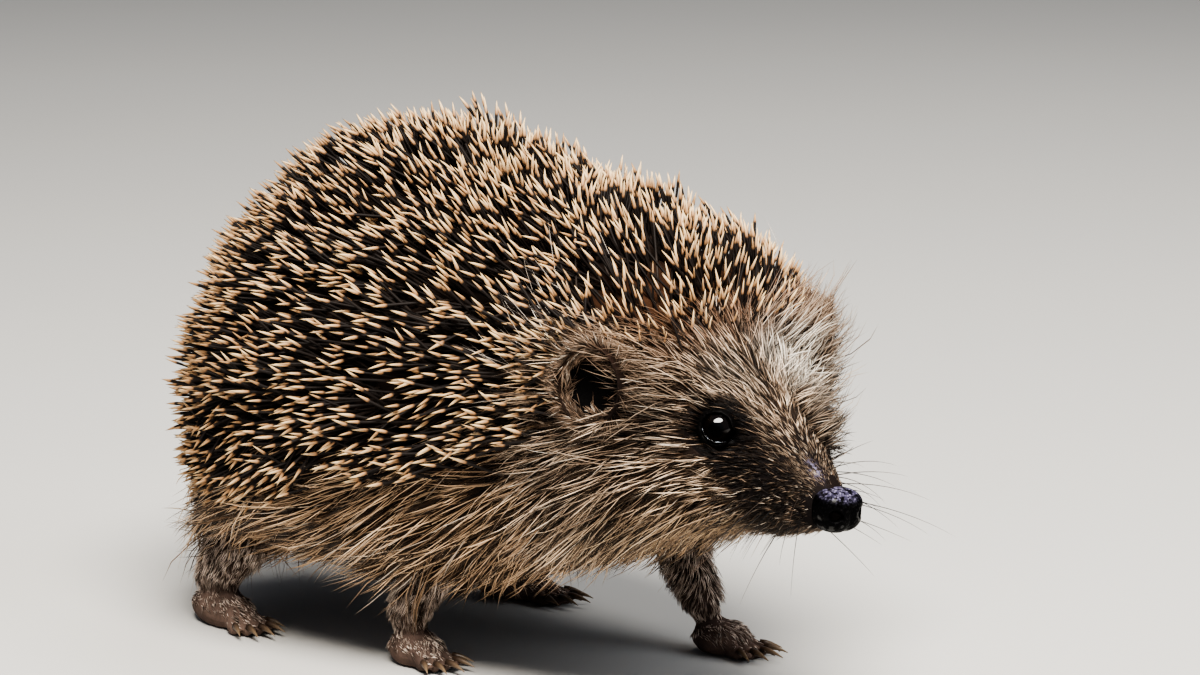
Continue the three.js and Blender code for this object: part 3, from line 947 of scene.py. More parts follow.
def eye_clear(roots, far):
    """False for roots on the bare lids."""
    clear = np.ones(len(roots["behind"]), bool)
    for side in SIDES:
        outward, along, upward = eye_frame(side)
        offset = roots["inner"] - EYE[side]
        x, y = offset @ along, offset @ upward
        x, y = np.where(x > 0, np.maximum(x - 2.3, 0) / 1.12, x * 1.25), y * np.where(y > 0, 1.0, 1.15)
        clear &= ~((np.hypot(x, y) < far) & (offset @ outward > -2))
    return clear


# What each kind of fur is like: rings along a hair, its radius, the gap between locks, how far a lock draws
# together, the share of guard hairs, and how fast the hairs hang down.
Look = namedtuple("Look", "rings radius gap pull guard drop")
MUZZLE = Look(3, 0.085, 0.9, 0.3, 0.3, 0.05)
FACE = Look(4, 0.115, 1.6, 0.36, 0.17, 0.05)
RUFF = Look(4, 0.095, 2.2, 0.35, 0.5, 0.05)
SKIRT = Look(4, 0.14, 3.0, 0.6, 0.17, 0.1)
BELLY = Look(3, 0.17, 3.4, 0.5, 0.15, 0.1)
LEGS = Look(3, 0.1, 1.3, 0.35, 0.7, 0.1)
FUZZ = Look(3, 0.075, 1.0, 0.12, 0.8, 0.05)
SILVER = Look(5, 0.055, 3.0, 0.0, 1.0, 0.05)
HAIR_SIDES = 3
ACROSS_THE_EAR = 0.02  # the share of hairs that cross the ears' hollows


def lay_fur(name, rng, count, weight, material, look, lay=comb_fur, lids=0.0, unwrap=None, slot="fur"):
    """Grows one piece of fur where weight says, clear of the lids by the given distance.

    lay tells the hairs' way, lift, length and stray from their roots. Fur with an unwrap of its own follows
    the skin's small forms. A share of the hairs, the guard hairs, is longer, thicker and paler than the rest.
    """
    roots = body_roots(rng, count, weight)
    if lids:
        roots = keep(roots, eye_clear(roots, lids))
    way, lift, length, stray = lay(roots)
    inner, normals = roots["inner"], roots["normals" if unwrap else "flow"]
    n = len(inner)
    leaders = spread(inner, look.gap, rng)
    own = nearest_of(inner, inner[leaders])
    common = lambda: rng.normal(0, 1, len(leaders))[own]
    long_hair = rng.random(n) < look.guard
    lie = unit(way - normals * np.einsum("ij,ij->i", way, normals)[:, None])
    twist = np.radians(stray) * (0.6 * rng.normal(0, 1, n) + 0.7 * common())
    lie = unit(lie * np.cos(twist)[:, None] + np.cross(normals, lie) * np.sin(twist)[:, None])
    lift = np.radians(lift * np.clip(1 + 0.2 * rng.normal(0, 1, n) + 0.18 * common(), 0.4, 1.8))
    lift = lift * np.where(long_hair, 1.08, 0.85)
    length = length * np.clip(rng.uniform(0.7, 1.12, n) + 0.1 * common(), 0.45, 1.4)
    length = length * np.where(long_hair, 1.12, 0.76)
    bend = rng.normal(0, 0.2, n) + 0.12 * common()
    paths = grow(inner, normals, lie, lift, lift * 0.8, length, bend, look.drop, look.rings)
    paths = lock(paths, leaders, own, look.pull, rng)
    paths[..., 2] = np.maximum(paths[..., 2], LOWEST_HAIR)
    taper = np.interp(np.linspace(0, 1, look.rings), [0, 0.4, 0.75, 1], [0.75, 1.0, 0.78, 0.1])
    thick = look.radius * rng.uniform(0.7, 1.2, n) * np.where(long_hair, 0.95, 0.85)
    tone = rng.uniform(0, 0.48, n) + np.where(long_hair, 0.52, 0.0)
    values = {"tone": tone, "lock": rng.random(len(leaders))[own], **markings(paths[:, look.rings // 2])}
    uv = (unwrap or unwrap_roots)(inner)
    if not unwrap:
        shown = ears_open(rng, paths) | (rng.random(n) < ACROSS_THE_EAR)
        paths, thick, normals, uv = paths[shown], thick[shown], normals[shown], uv[shown]
        values = keep(values, shown)
    piece = tubes(name, paths, thick[:, None] * taper, HAIR_SIDES, normals, values, uv)
    finish_piece(piece, (), material)


def long_hairs(name, roots, normals, lie, lift, length, bend, drop, rings, taper, tone, shade, material):
    """Grows a few single long hairs; lift is how they start and how much of it they lose."""
    n = len(lie)
    start, loss = (np.full(n, angle) for angle in lift)
    paths = grow(roots["inner"], normals, lie, start, loss, length, bend, drop, rings)
    paths[..., 2] = np.maximum(paths[..., 2], LOWEST_HAIR)
    radius, tip = taper
    thick = np.tile(np.linspace(1, tip, rings) * radius, (n, 1))
    values = {"tone": tone, "lock": np.full(n, shade), **markings(roots["outer"])}
    piece = tubes(name, paths, thick, 5, normals, values, unwrap_roots(roots["inner"]))
    finish_piece(piece, (), material)


SPINE_TRIES = 85000  # places tried for a spine, of which those too near to each other are left out


class HEDGEHOG_OT_spines(bpy.types.Operator):
    """Set the banded spines over the crown, back and flanks"""

    bl_idname = "hedgehog.spines"
    bl_label = "Spines"

    def execute(self, context):
        need_skin()
        sizes = context.scene.hedgehog_sizes
        rng = np.random.default_rng(11)
        body = (SKIN["share"]["body"] + SKIN["share"]["tail"]) * (SKIN["behind"] > 34)
        tried = scatter(rng, SPINE_TRIES, body, "outer")
        tips, normals = at(SKIN["outer"], *tried), unit(at(SKIN["flow"], *tried))
        behind, out, height = places(tips)
        quilled = height > spine_edge(behind) + rng.normal(0, 1.2, len(tips))
        for side in SIDES:
            quilled &= np.linalg.norm((tips - EAR[side]) * [1, 1, 0.9], axis=1) > 9.5
        tips, normals, behind, out, height = (v[quilled] for v in (tips, normals, behind, out, height))
        chosen = spread(tips, sizes.spine_gap * MM, rng)
        tips, normals, behind, out, height = (v[chosen] for v in (tips, normals, behind, out, height))
        around = round_body(behind, out, height)
        n = len(tips)
        # Spines stand in patches that lean and rise together.
        patches = spread(tips, 8.0, rng)
        patch = nearest_of(tips, tips[patches])
        common = lambda: rng.normal(0, 1, len(patches))[patch]
        lean = np.interp(around, [0.0, 0.2, 0.35, 0.5, 0.7], [62, 54, 46, 38, 32])
        # The first rows over the brow stand up the most, so that little of their shafts shows.
        brow = ramp(height - spine_edge(behind), 12, 2) * ramp(around, 0.4, 0.25)
        lift = np.radians(np.clip(lean + 16 * brow + 10 * rng.normal(0, 1, n) + 9 * common(), 20, 84))
        face = heading(behind)
        down = np.interp(around, [0.3, 0.45, 0.6], [0.0, 0.12, 0.5])
        back = unit(-face - UP * down[:, None])
        turn = np.radians(18 * rng.normal(0, 1, n) + 14 * common())[:, None]
        back = unit(back * np.cos(turn) + np.cross(normals, back) * np.sin(turn))
        way = unit(normals * np.sin(lift)[:, None] + back * np.cos(lift)[:, None])
        tips = tips + way * (1.3 * rng.normal(0, 1, n) + 1.1 * common())[:, None]
        # The first spines of the left brow stand out the furthest.
        tips = tips + way * (2.2 * bump(behind, 46, 6) * ramp(out, 2, 14))[:, None]
        slim = mix(0.84, 1.0, ramp(behind, 38, 72))
        reach = np.empty(n)
        for i in range(n):
            hit = SKIN["tree"].ray_cast(Vector(tips[i]), Vector(-way[i]), 40.0)
            reach[i] = hit[3] if hit[0] is not None else -1
        good = (reach > 3.5) & (reach < mix(26.0, 14.0, brow)) & (rng.random(n) > 0.06)
        tips, way, reach, normals, slim, behind = (v[good] for v in (tips, way, reach, normals, slim, behind))
        n = len(tips)
        length = np.minimum(reach + 0.8, 22.0)
        # Distances of the rings from the point, and the spine's half-width there.
        from_tip = [length, length * 0.5 + 2.3] + [np.full(n, far) for far in (4.4, 2.9, 1.3, 0.0)]
        from_tip = np.stack(from_tip, axis=1)
        girth = np.array([0.3, 0.42, 0.42, 0.5, 0.27, 0.0]) * sizes.spine_width * MM
        width = rng.uniform(0.82, 1.15, n) * slim
        bow = np.cross(way, unit(rng.normal(0, 1, (n, 3)))) * 0.35
        share = from_tip / length[:, None]
        paths = tips[:, None] - way[:, None] * from_tip[..., None]
        paths = paths + bow[:, None] * (4 * share * (1 - share))[..., None]
        # The spines of the rump have shorter cream points, and are browner as painted shade over the rump.
        values = {"tone": rng.random(n) ** mix(1.0, 0.2, ramp(behind, 115, 165)), "from_tip": from_tip}
        uv = unwrap_roots(paths[:, 0])
        behind = places(paths[:, 0])[0]
        front = behind <= np.quantile(behind, 0.5)
        material = spine_material()
        for name, k in (("spines_front", front), ("spines_back", ~front)):
            piece = tubes(name, paths[k], width[k, None] * girth, 5, normals[k], keep(values, k), uv[k])
            finish_piece(piece, (), material)
        return {"FINISHED"}


# How the ruff stands on each side: the share of hairs, how far they rise and go back, and their lift in
# degrees.
RUFF_SIDES = {"left": (3.0, 0.4, 0.45, (40, 70)), "right": (0.6, 0.05, 0.6, (28, 50))}


class HEDGEHOG_OT_face_fur(bpy.types.Operator):
    """Lay the fine fur of the snout, brow and cheeks"""

    bl_idname = "hedgehog.face_fur"
    bl_label = "Face fur"

    def execute(self, context):
        need_skin()
        sizes, colours = context.scene.hedgehog_sizes, context.scene.hedgehog_colours
        hair = (colours.fur_root, colours.face_middle, colours.face_tip)
        material, short = hair_material("Face fur", *hair, 0.2), hair_material("Muzzle fur", *hair, 0.3)
        behind, around, out, share = (SKIN[key] for key in ("behind", "around", "out", "share"))
        bare = (1 - np.clip(share["nose"] * 2 + share["ear"], 0, 1)) * share["body"]
        # The first hairs stand against the nose pad.
        lip = ramp(behind, 12, 8) * ramp(behind, 4.5, 6)
        front = ramp(behind, 27, 21) * ramp(behind, 2, 4) * (1 + 1.2 * bump(behind, 7, 4)) * bare + 1.5 * lip
        near_edge = SKIN["height"] < spine_edge(behind) + 3.0
        main = ramp(behind, 21, 27) * (behind < 54) * near_edge * bare
        # The ruff stands out before and over the ears and along the brow's sides.
        ruff = bump(behind, 36, 6) * bump(around, 0.34, 0.14) * near_edge * bare
        # The left brow is ruffled up as far forward as the eye.
        brow = 3.0 * bump(behind, 18.5, 3.6) * bump(around, 0.22, 0.1) * (out > 3) * bare
        for side, sign in SIDES.items():
            rng = np.random.default_rng(21 + sign)
            half = (out * sign > 0).astype(float)
            more, upwards, backwards, lifts = RUFF_SIDES[side]

            def ruffled(roots):
                back = ramp(roots["behind"], 22, 34)
                way = LEFTWARD * sign * 0.8 + UP * mix(-0.1, upwards, back)[:, None]
                way = way - heading(roots["behind"]) * backwards
                lift = rng.uniform(*lifts, len(back))
                return way, lift, rng.uniform(0.6, 1.2, len(back)) * mix(8.0, 13.5, back), 15.0

            lay_fur(f"muzzle_fur_{side}", rng, sizes.muzzle_hairs, front * half, short, MUZZLE, lids=4.5)
            lay_fur(f"face_fur_{side}", rng, sizes.face_hairs, main * half, material, FACE, lids=4.8)
            count = int(sizes.ruff_hairs * more)
            lay_fur(f"ruff_{side}", rng, count, (ruff + brow) * half, material, RUFF, ruffled, lids=4.8)
        return {"FINISHED"}


class HEDGEHOG_OT_skirt_fur(bpy.types.Operator):
    """Lay the long fur of the flanks' lower edge, the chest, the rump and the belly"""

    bl_idname = "hedgehog.skirt_fur"
    bl_label = "Skirt and belly fur"

    def execute(self, context):
        need_skin()
        sizes, colours = context.scene.hedgehog_sizes, context.scene.hedgehog_colours
        material = hair_material("Skirt fur", colours.fur_root, colours.skirt_middle, colours.skirt_tip, 0.22)
        behind, share = SKIN["behind"], SKIN["share"]
        # The skirt reaches a little under the spines, and further up round the tail.
        over = mix(6, 14, ramp(behind, 165, 178))
        skirt = (behind > 50) * (SKIN["height"] < spine_edge(behind) + over) * (share["body"] + share["tail"])
        flank = ramp(SKIN["around"], mix(0.93, 1.02, ramp(behind, 135, 150)), 0.8)
        for side, sign in SIDES.items():
            rng = np.random.default_rng(41 + sign)
            half = (SKIN["out"] * sign > 0).astype(float)
            lay_fur(f"skirt_fur_{side}", rng, sizes.skirt_hairs, skirt * half * flank, material, SKIRT)
        rng = np.random.default_rng(47)
        lay_fur("belly_fur", rng, sizes.belly_hairs, skirt * (1 - flank * 0.9), material, BELLY)
        return {"FINISHED"}


class HEDGEHOG_OT_limb_fur(bpy.types.Operator):
    """Lay the short fur of the legs and the tops of the paws"""

    bl_idname = "hedgehog.limb_fur"
    bl_label = "Leg fur"

    def execute(self, context):
        need_skin()
        sizes, colours = context.scene.hedgehog_sizes, context.scene.hedgehog_colours
        material = hair_material("Leg fur", colours.fur_root, colours.leg_middle, colours.leg_tip, 0.25, 0.0)
        share, outer = SKIN["share"], SKIN["outer"]
        top = ramp(SKIN["normals"][:, 2], 0.0, 0.4)
        weight = share["leg"] + 1.4 * share["paw"] * top * ramp(SKIN["height"], 2.0, 4.0)

        def downwards(roots):
            up = ramp(roots["height"], 3, 14)
            way = np.array([1.0, 0, 0]) * mix(0.9, -0.45, up)[:, None] - UP * mix(0.35, 1.0, up)[:, None]
            return way, mix(24.0, 30.0, up), mix(2.0, 4.2, ramp(roots["height"], 4, 24)), 16.0

        for k, leg in enumerate(LEG_NAMES):
            rng = np.random.default_rng(61 + k)
            boxes = np.array([box_mm(f"{kind}_{leg}") for kind in ("leg", "paw")])
            low, high = boxes[:, 0].min(0) - 3, boxes[:, 1].max(0) + 3
            mine = np.all((outer > low) & (outer < high), axis=1)
            centre = (low + high) / 2

            def round_leg(points):
                flat = points - centre
                angle = np.arctan2(flat[:, 1], flat[:, 0]) / (2 * math.pi) + 0.5
                return on_unwrap(np.stack([angle, points[:, 2] / (points[:, 2].max() + 0.1)], axis=1))

            piece = (f"leg_fur_{leg}", rng, sizes.leg_hairs, weight * mine, material, LEGS)
            lay_fur(*piece, downwards, unwrap=round_leg, slot="leg_fur")
        return {"FINISHED"}


class HEDGEHOG_OT_ear_fur(bpy.types.Operator):
    """Lay the fuzz round the ears' rims and the fine pale hairs behind them"""

    bl_idname = "hedgehog.ear_fur"
    bl_label = "Ear fur"

    def execute(self, context):
        need_skin()
        sizes, root = context.scene.hedgehog_sizes, context.scene.hedgehog_colours.fur_root
        fuzz = hair_material("Ear fuzz", root, (0.1, 0.067, 0.046), (0.29, 0.2, 0.14), 0.35, 0.0)
        silver = ((0.3, 0.24, 0.2), (0.62, 0.56, 0.5), (0.85, 0.8, 0.74))
        silver = hair_material("Silver guard hair", *silver, 0.3, 0.0)
        share = SKIN["share"]
        for side, sign in SIDES.items():
            rng = np.random.default_rng(81 + sign)
            face, across = ear_frame(side)

            def about_ear(points):
                """Offsets from the ear's middle, and the same across the way it faces."""
                offset = points - EAR[side]
                return offset, offset - (offset @ face)[:, None] * face

            offset, radial = about_ear(SKIN["inner"])
            wide = np.linalg.norm(radial, axis=1)
            edge = np.maximum(ramp(SKIN["normals"] @ face, 0.75, 0.2), ramp(wide, 5.0, 7.0))
            rim = share["ear"] * (np.linalg.norm(offset, axis=1) < 13) * edge * (1 - SKIN["hollow"] * 0.93)
            # Little fuzz grows on the front edge, which the cheek's hairs cover.
            rim = rim * mix(1.0, 0.15, ramp(-sign * (radial @ across) / np.maximum(wide, 1), 0.0, 0.7))

            def outwards(roots):
                way = unit(about_ear(roots["inner"])[1]) * 0.3 - face * 0.3 - FORWARD * 1.0
                return way, 22.0, rng.uniform(2.6, 5.6, len(way)), 16.0

            def round_ear(points):
                flat = points - EAR[side]
                return 0.5 + 0.49 * np.stack([flat @ across, flat[:, 2]], axis=1) / 16.0

            piece = (f"ear_fuzz_{side}", rng, sizes.ear_hairs, rim, fuzz, FUZZ)
            lay_fur(*piece, outwards, unwrap=round_ear, slot="pinna")

            def backwards(roots):
                rise = np.clip((roots["height"] - 70) / 12, -1, 1)
                way = -heading(roots["behind"]) + UP * (0.45 * rise + 0.1)[:, None]
                return way, 38.0, rng.uniform(14, 23, len(way)), 20.0

            # Long thin pale hairs fan out behind the ear, over the spines.
            place = bump(SKIN["behind"], 52, 5) * bump(SKIN["height"], 74, 11) * (SKIN["out"] * sign > 12)
            piece = (f"silver_hairs_{side}", rng, sizes.silver_hairs, place * share["body"], silver, SILVER)
            lay_fur(*piece, backwards)
        return {"FINISHED"}


class HEDGEHOG_OT_claws(bpy.types.Operator):
    """Shape one curved claw and set a copy on each toe"""

    bl_idname = "hedgehog.claws"
    bl_label = "Claws"

    def execute(self, context):
        claw, material = self.one_claw(), self.horn()
        shape = points_of(claw.data)
        for leg in LEG_NAMES:
            kind, ankle, turn = paw_of(leg)
            made = []
            for toe in range(TOES):
                part = toe / (TOES - 1) - 0.5
                fan = math.radians(part * kind.fan)
                ahead, aside = math.cos(fan), math.sin(fan)
                reach = kind.reach * (1 - 0.9 * part * part)
                foot = np.array([kind.ahead + reach * ahead, reach * aside * 0.95, TOE_HEIGHT * 0.8])
                foot += np.array([ahead, aside, 0]) * kind.toe * 0.62 + [0, 0, 0.75]
                copy = link("claw", claw.data.copy())
                grown = shape * [CLAW_LENGTH * (1 - 0.5 * part * part), 1, 1] @ turned(fan).T + foot
                set_points(copy.data, grown @ turn.T + ankle)
                made.append(copy)
            piece = join_copies(made, f"claws_{leg}")
            put_attributes(piece.data, {"along": np.tile(np.clip(shape[:, 0], 0, 1), TOES)})
            shade_smooth(piece.data)
            finish_piece(piece, (), material)
        bpy.data.objects.remove(claw)
        return {"FINISHED"}

    def one_claw(self):
        """A claw one unit long along X, thick at the root, curved down and flatter beneath."""
        deselect()
        cone = {"radius1": 0.00098, "radius2": 0.0001, "depth": 0.001}
        bpy.ops.mesh.primitive_cone_add(vertices=12, end_fill_type="TRIFAN", **cone)
        claw = bpy.context.view_layer.objects.active
        bpy.ops.object.mode_set(mode="EDIT")
        for level in (0.0, -0.00025, 0.00025, 0.0004):
            bpy.ops.mesh.select_all(action="SELECT")
            bpy.ops.mesh.bisect(plane_co=(0, 0, level), plane_no=(0, 0, 1))
        bpy.ops.object.mode_set(mode="OBJECT")
        p = points_of(claw.data)
        share = np.clip(p[:, 2] + 0.5, 0, 1)
        round_ = 1 + 0.55 * share * (1 - share)
        side, high = p[:, 1] * round_ * 0.82, p[:, 0] * round_
        high = np.where(high < 0, high * 0.7, high) + 0.25 * share - 1.15 * share**2.2
        set_points(claw.data, np.stack([share, side, high], axis=1))
        return claw

    def horn(self):
        material, n = new_material("Claw horn", Specular_IOR_Level=0.4)
        grain = n.noise(1500, 2)
        colour = n.blend(n.span(n.attribute("along"), 0.1, 0.9), (0.05, 0.03, 0.02), (0.22, 0.15, 0.09))
        colour = n.blend(n.times(grain, 0.5), colour, (0.03, 0.02, 0.014))
        n.shade(Base_Color=colour, Roughness=n.span(grain, 0.3, 0.7, 0.3, 0.45))
        return material


class HEDGEHOG_OT_whiskers(bpy.types.Operator):
    """Set the long dark whiskers on the muzzle and a few pale hairs under the jaw"""

    bl_idname = "hedgehog.whiskers"
    bl_label = "Whiskers"

    def execute(self, context):
        need_skin()
        sizes = context.scene.hedgehog_sizes
        dark = ((0.012, 0.008, 0.006), (0.02, 0.013, 0.01), (0.08, 0.05, 0.035))
        pale = ((0.2, 0.13, 0.08), (0.55, 0.42, 0.28), (0.8, 0.68, 0.5))
        dark = hair_material("Whisker", *dark, 0.6, 0.0)
        pale = hair_material("Long jaw hair", *pale, 0.3, 0.0)
        behind, height = SKIN["behind"], SKIN["height"]
        for side, sign in SIDES.items():
            rng = np.random.default_rng(91 + sign)

            def few(tries, weight, gap, most):
                roots = body_roots(rng, tries, weight)
                return keep(roots, spread(roots["inner"], gap, rng)[:most])

            out = SKIN["out"] * sign
            roots = few(400, bump(behind, 13, 5.5) * bump(height, 50, 3.6) * (out > 3), 1.5, sizes.whiskers)
            n, normals = len(roots["out"]), roots["normals"]
            level = (roots["height"] - 50) / 4
            away = (roots["behind"] - 13) / 6
            rise = 0.35 * level - 0.15 + rng.normal(0, 0.15, n)
            way = FORWARD * (0.25 - 0.6 * away)[:, None] + LEFTWARD * sign * 1.0 + UP * rise[:, None]
            length, bend = rng.uniform(11, 25, n), rng.normal(-0.1, 0.35, n)
            lie = unit(way - normals * np.einsum("ij,ij->i", way, normals)[:, None] * 0.4)
            shape = (lie, (0.5, 0.4), length, bend, 0.5, 9, (0.11, 0.12))
            long_hairs(f"whiskers_{side}", roots, normals, *shape, rng.uniform(0.35, 0.6, n), 0.5, dark)
            # A few long pale hairs hang in a curve from the corner of the jaw.
            roots = few(60, bump(behind, 22, 2) * bump(height, 47, 1.2) * (out > 5), 3.0, sizes.jaw_hairs)
            n = len(roots["out"])
            way = -FORWARD * 0.75 + LEFTWARD * sign * 0.6 - UP * 0.05
            lie = unit(way + rng.normal(0, 0.12, (n, 3)))
            shape = (lie, (0.25, 0.1), rng.uniform(25, 32, n), np.zeros(n), 0.6, 11, (0.12, 0.15))
            tone = rng.uniform(0.86, 0.9, n)
            long_hairs(f"jaw_hairs_{side}", roots, roots["flow"], *shape, tone, 1.0, pale)
        return {"FINISHED"}


# ------------------------------------------------------------------ eyes and nose
class HEDGEHOG_OT_eyes(bpy.types.Operator):
    """Make the two glossy eyes"""

    bl_idname = "hedgehog.eyes"
    bl_label = "Eyes"

    def execute(self, context):
        black, tears = self.wet_black(), self.tears()
        for side in SIDES:
            outward, _, upward = eye_frame(side)
            deselect()
            ball = {"segments": 64, "ring_count": 48, "radius": (EYE_RADIUS - 0.02) / MM}
            bpy.ops.mesh.primitive_uv_sphere_add(location=tuple(EYE[side] / MM), **ball)
            eye = context.view_layer.objects.active
            eye.name = eye.data.name = f"eyeball_{side}"
            bpy.ops.object.transform_apply(location=True, rotation=True, scale=True)
            points = points_of(eye.data)
            offset = points - EYE[side]
            # The cornea swells a little from the ball and is flatter over the pupil's upper half.
            facing = offset @ outward / EYE_RADIUS
            points += outward * (0.22 * ramp(facing, 0.55, 1.0))[:, None]
            crown = unit(outward + upward * 0.42)
            points -= crown * (0.5 * np.maximum(offset @ crown - EYE_RADIUS * 0.9, 0))[:, None]
            set_points(eye.data, relax(points, edges_of(eye.data), 2))
            radial = np.linalg.norm(offset - (offset @ outward)[:, None] * outward, axis=1)
            marks = {"from_pupil": np.where(facing > 0, radial, 9.0), "sky": ramp(offset @ upward, 0.2, 1.4)}
            put_attributes(eye.data, marks)
            shade_smooth(eye.data)
            finish_piece(eye, (f"eye_{side}",), black)
            self.tear_line(side, tears)
        return {"FINISHED"}

    def tear_line(self, side, material):
        """The thin wet edge that stands between the ball and the lower lid."""
        outward, along, upward = eye_frame(side)
        steps = 30
        angle = np.radians(np.linspace(214, 352, steps))
        front = ramp(np.cos(angle), 0.2, 1.0)
        wave = 0.07 * np.sin(np.arange(steps) * 1.3)
        x, y = (3.1 + 0.6 * front) * np.cos(angle), (2.6 - 0.35 * front + wave) * np.sin(angle)
        h = np.sqrt(np.maximum((EYE_RADIUS + 0.12) ** 2 - x**2 - y**2, 0.6))
        path = EYE[side] + x[:, None] * along + y[:, None] * upward + h[:, None] * outward
        thick = 0.085 * np.sin(np.linspace(0.25, math.pi, steps)) * (1 + 0.4 * np.sin(np.arange(steps) * 1.9))
        middle_of_map = np.array([[0.5, 0.5]])
        piece = tubes(f"tear_line_{side}", path[None], thick[None], 8, outward[None], {}, middle_of_map)
        finish_piece(piece, (), material)

    def tears(self):
        material, n = new_material("Tears on the lid with painted glints", Roughness=0.12, Specular_IOR_Level=0.6)
        drops_and_glints = n.span(n.noise(1300, 2), 0.46, 0.6)
        # Pale blue spots along the wet line are a painted highlight, the sky's reflection in the tears.
        n.shade(Base_Color=n.blend(drops_and_glints, (0.004, 0.004, 0.005), (0.42, 0.46, 0.54)))
        return material

    def wet_black(self):
        gloss = {"IOR": 1.38, "Specular_IOR_Level": 0.01, "Coat_Roughness": 0.03}
        material, n = new_material("Wet black eye", **gloss)
        radial = n.attribute("from_pupil")
        iris = n.blend(n.noise(700, 3), (0.0012, 0.0008, 0.0007), (0.003, 0.0018, 0.0014))
        colour = n.blend(n.span(radial, 1.5, 1.75), (0.0006, 0.0006, 0.0007), iris)
        colour = n.blend(n.span(radial, 2.5, 3.0), colour, (0.001, 0.0008, 0.0008))
        # The wet film gathers the light from above.
        film = n.math("MULTIPLY_ADD", n.attribute("sky"), 0.92, 0.004)
        n.shade(Base_Color=colour, Roughness=n.span(radial, 2.6, 3.4, 0.06, 0.2), Coat_Weight=film)
        return material


class HEDGEHOG_OT_nose(bpy.types.Operator):
    """Shape the pebbled nose pad and its nostrils"""

    bl_idname = "hedgehog.nose"
    bl_label = "Nose pad"

    def execute(self, context):
        pad = node_copy("nose", "nose_pad")
        apply_modifier(pad, "REMESH", mode="VOXEL", voxel_size=0.00028)
        mesh = pad.data
        points, edges = points_of(mesh), edges_of(mesh)
        points = relax(points, edges, 6)
        set_points(mesh, points)
        normals = normals_of(mesh)
        offset = points - NOSE
        x, y, z = offset @ FORWARD, offset @ LEFTWARD, offset[:, 2]
        # The pad is boxier than an egg.
        scaled = np.stack([np.abs(x) / 4.7, np.abs(y) / 5.2, np.abs(z) / 4.6], axis=1)
        boxy = (scaled**2).sum(1) ** 0.5 / np.maximum((scaled**2.8).sum(1) ** (1 / 2.8), 1e-6)
        points = NOSE + offset * mix(1.0, boxy, 0.8)[:, None]
        # A flat top with a dip along the middle, and a groove down to the lip.
        points += normals * (0.2 * bump(np.abs(y), 3.4, 1.6) * bump(z, 1.8, 2.0) * ramp(x, -2, 1))[:, None]
        points -= normals * (0.3 * bump(y, 0, 0.55) * ramp(x, 0.5, 3.0) * ramp(z, 3.8, 1.5))[:, None]
        points -= normals * (0.25 * bump(y, 0, 1.0) * ramp(z, 2.0, 3.6))[:, None]
        wet = np.zeros(len(points))
        for sign in SIDES.values():
            # The nostril is a comma that opens forwards and runs back along the side.
            hole = np.hypot((y - sign * 2.6) / 0.7, (z + 0.5) / 0.6)
            slit = np.hypot((z + 0.95 + 0.12 * (3 - x)) / 0.42, np.maximum(np.abs(x - 0.2) - 1.4, 0) / 0.5)
            slit = np.where(y * sign > 2.6, slit, 9)
            rim = 0.08 * bump(hole, 1.6, 0.35) * ramp(x, 0.5, 2.0)
            deep = 0.9 * ramp(hole, 1.2, 0.4) * ramp(x, 0.8, 2.2) + 0.25 * ramp(slit, 1.2, 0.3)
            points += normals * (rim - deep)[:, None]
            wet = np.maximum(wet, np.clip(deep, 0, 1))
        set_points(mesh, relax(points, edges, 1))
        # top marks the pad's upper face, which takes a painted reflection of the sky and a wetter coat.
        put_attributes(mesh, {"deep": wet, "top": ramp(z + 0.2 * x, 2.4, 4.0)})
        shade_smooth(mesh)
        finish_piece(pad, ("nose",), self.leather())
        return {"FINISHED"}

    def leather(self):
        gloss = {"IOR": 1.4, "Coat_Roughness": 0.2, "Specular_IOR_Level": 0.03}
        material, n = new_material("Wet nose leather", **gloss)
        top, deep = n.attribute("top"), n.attribute("deep")
        pebble = n.span(n.cells("F1", 1700), 0.05, 0.6, 1.0, 0.0)
        fine = n.noise(2600, 2)
        painted_sky_sheen = n.times(top, n.span(n.noise(900, 4, 0.7), 0.42, 0.6))
        # The pebbles are a little lighter than the cracks between them: painted shade in the cracks.
        colour = n.blend(pebble, (0.0008, 0.0007, 0.0008), (0.0026, 0.0022, 0.003))
        # The top is painted lilac in a mottle, brightest on the pebbles: a painted reflection of the sky.
        colour = n.blend(painted_sky_sheen, colour, n.blend(pebble, (0.04, 0.036, 0.065), (0.3, 0.27, 0.42)))
        colour = n.blend(deep, colour, (0.0015, 0.001, 0.001))
        wet = n.math("MAXIMUM", top, n.times(deep, 0.5))
        drops_and_glints = n.span(n.noise(420, 2), 0.6, 0.64, 0.006, 0.5)
        film = n.math("MULTIPLY_ADD", wet, 0.3, drops_and_glints)
        relief = n.bump(n.math("ADD", pebble, n.times(fine, 0.25)), 0.55, 0.00016)
        rough = n.span(fine, 0.3, 0.7, 0.3, 0.5)
        n.shade(Base_Color=colour, Roughness=rough, Coat_Weight=film, Normal=relief)
        return material


# ------------------------------------------------------------------ stage
LENS = 123.0  # in millimetres, on a picture 36 mm wide
PICTURE_WIDTH, PICTURE_SHIFT = 1200, (80, 22.5)  # in points
CAMERA_VIEW = (40, 12, 0.9)  # azimuth and elevation in degrees, and distance in metres
TARGET = (-0.0053, 0.0, 0.0645)  # what the camera and the lights face


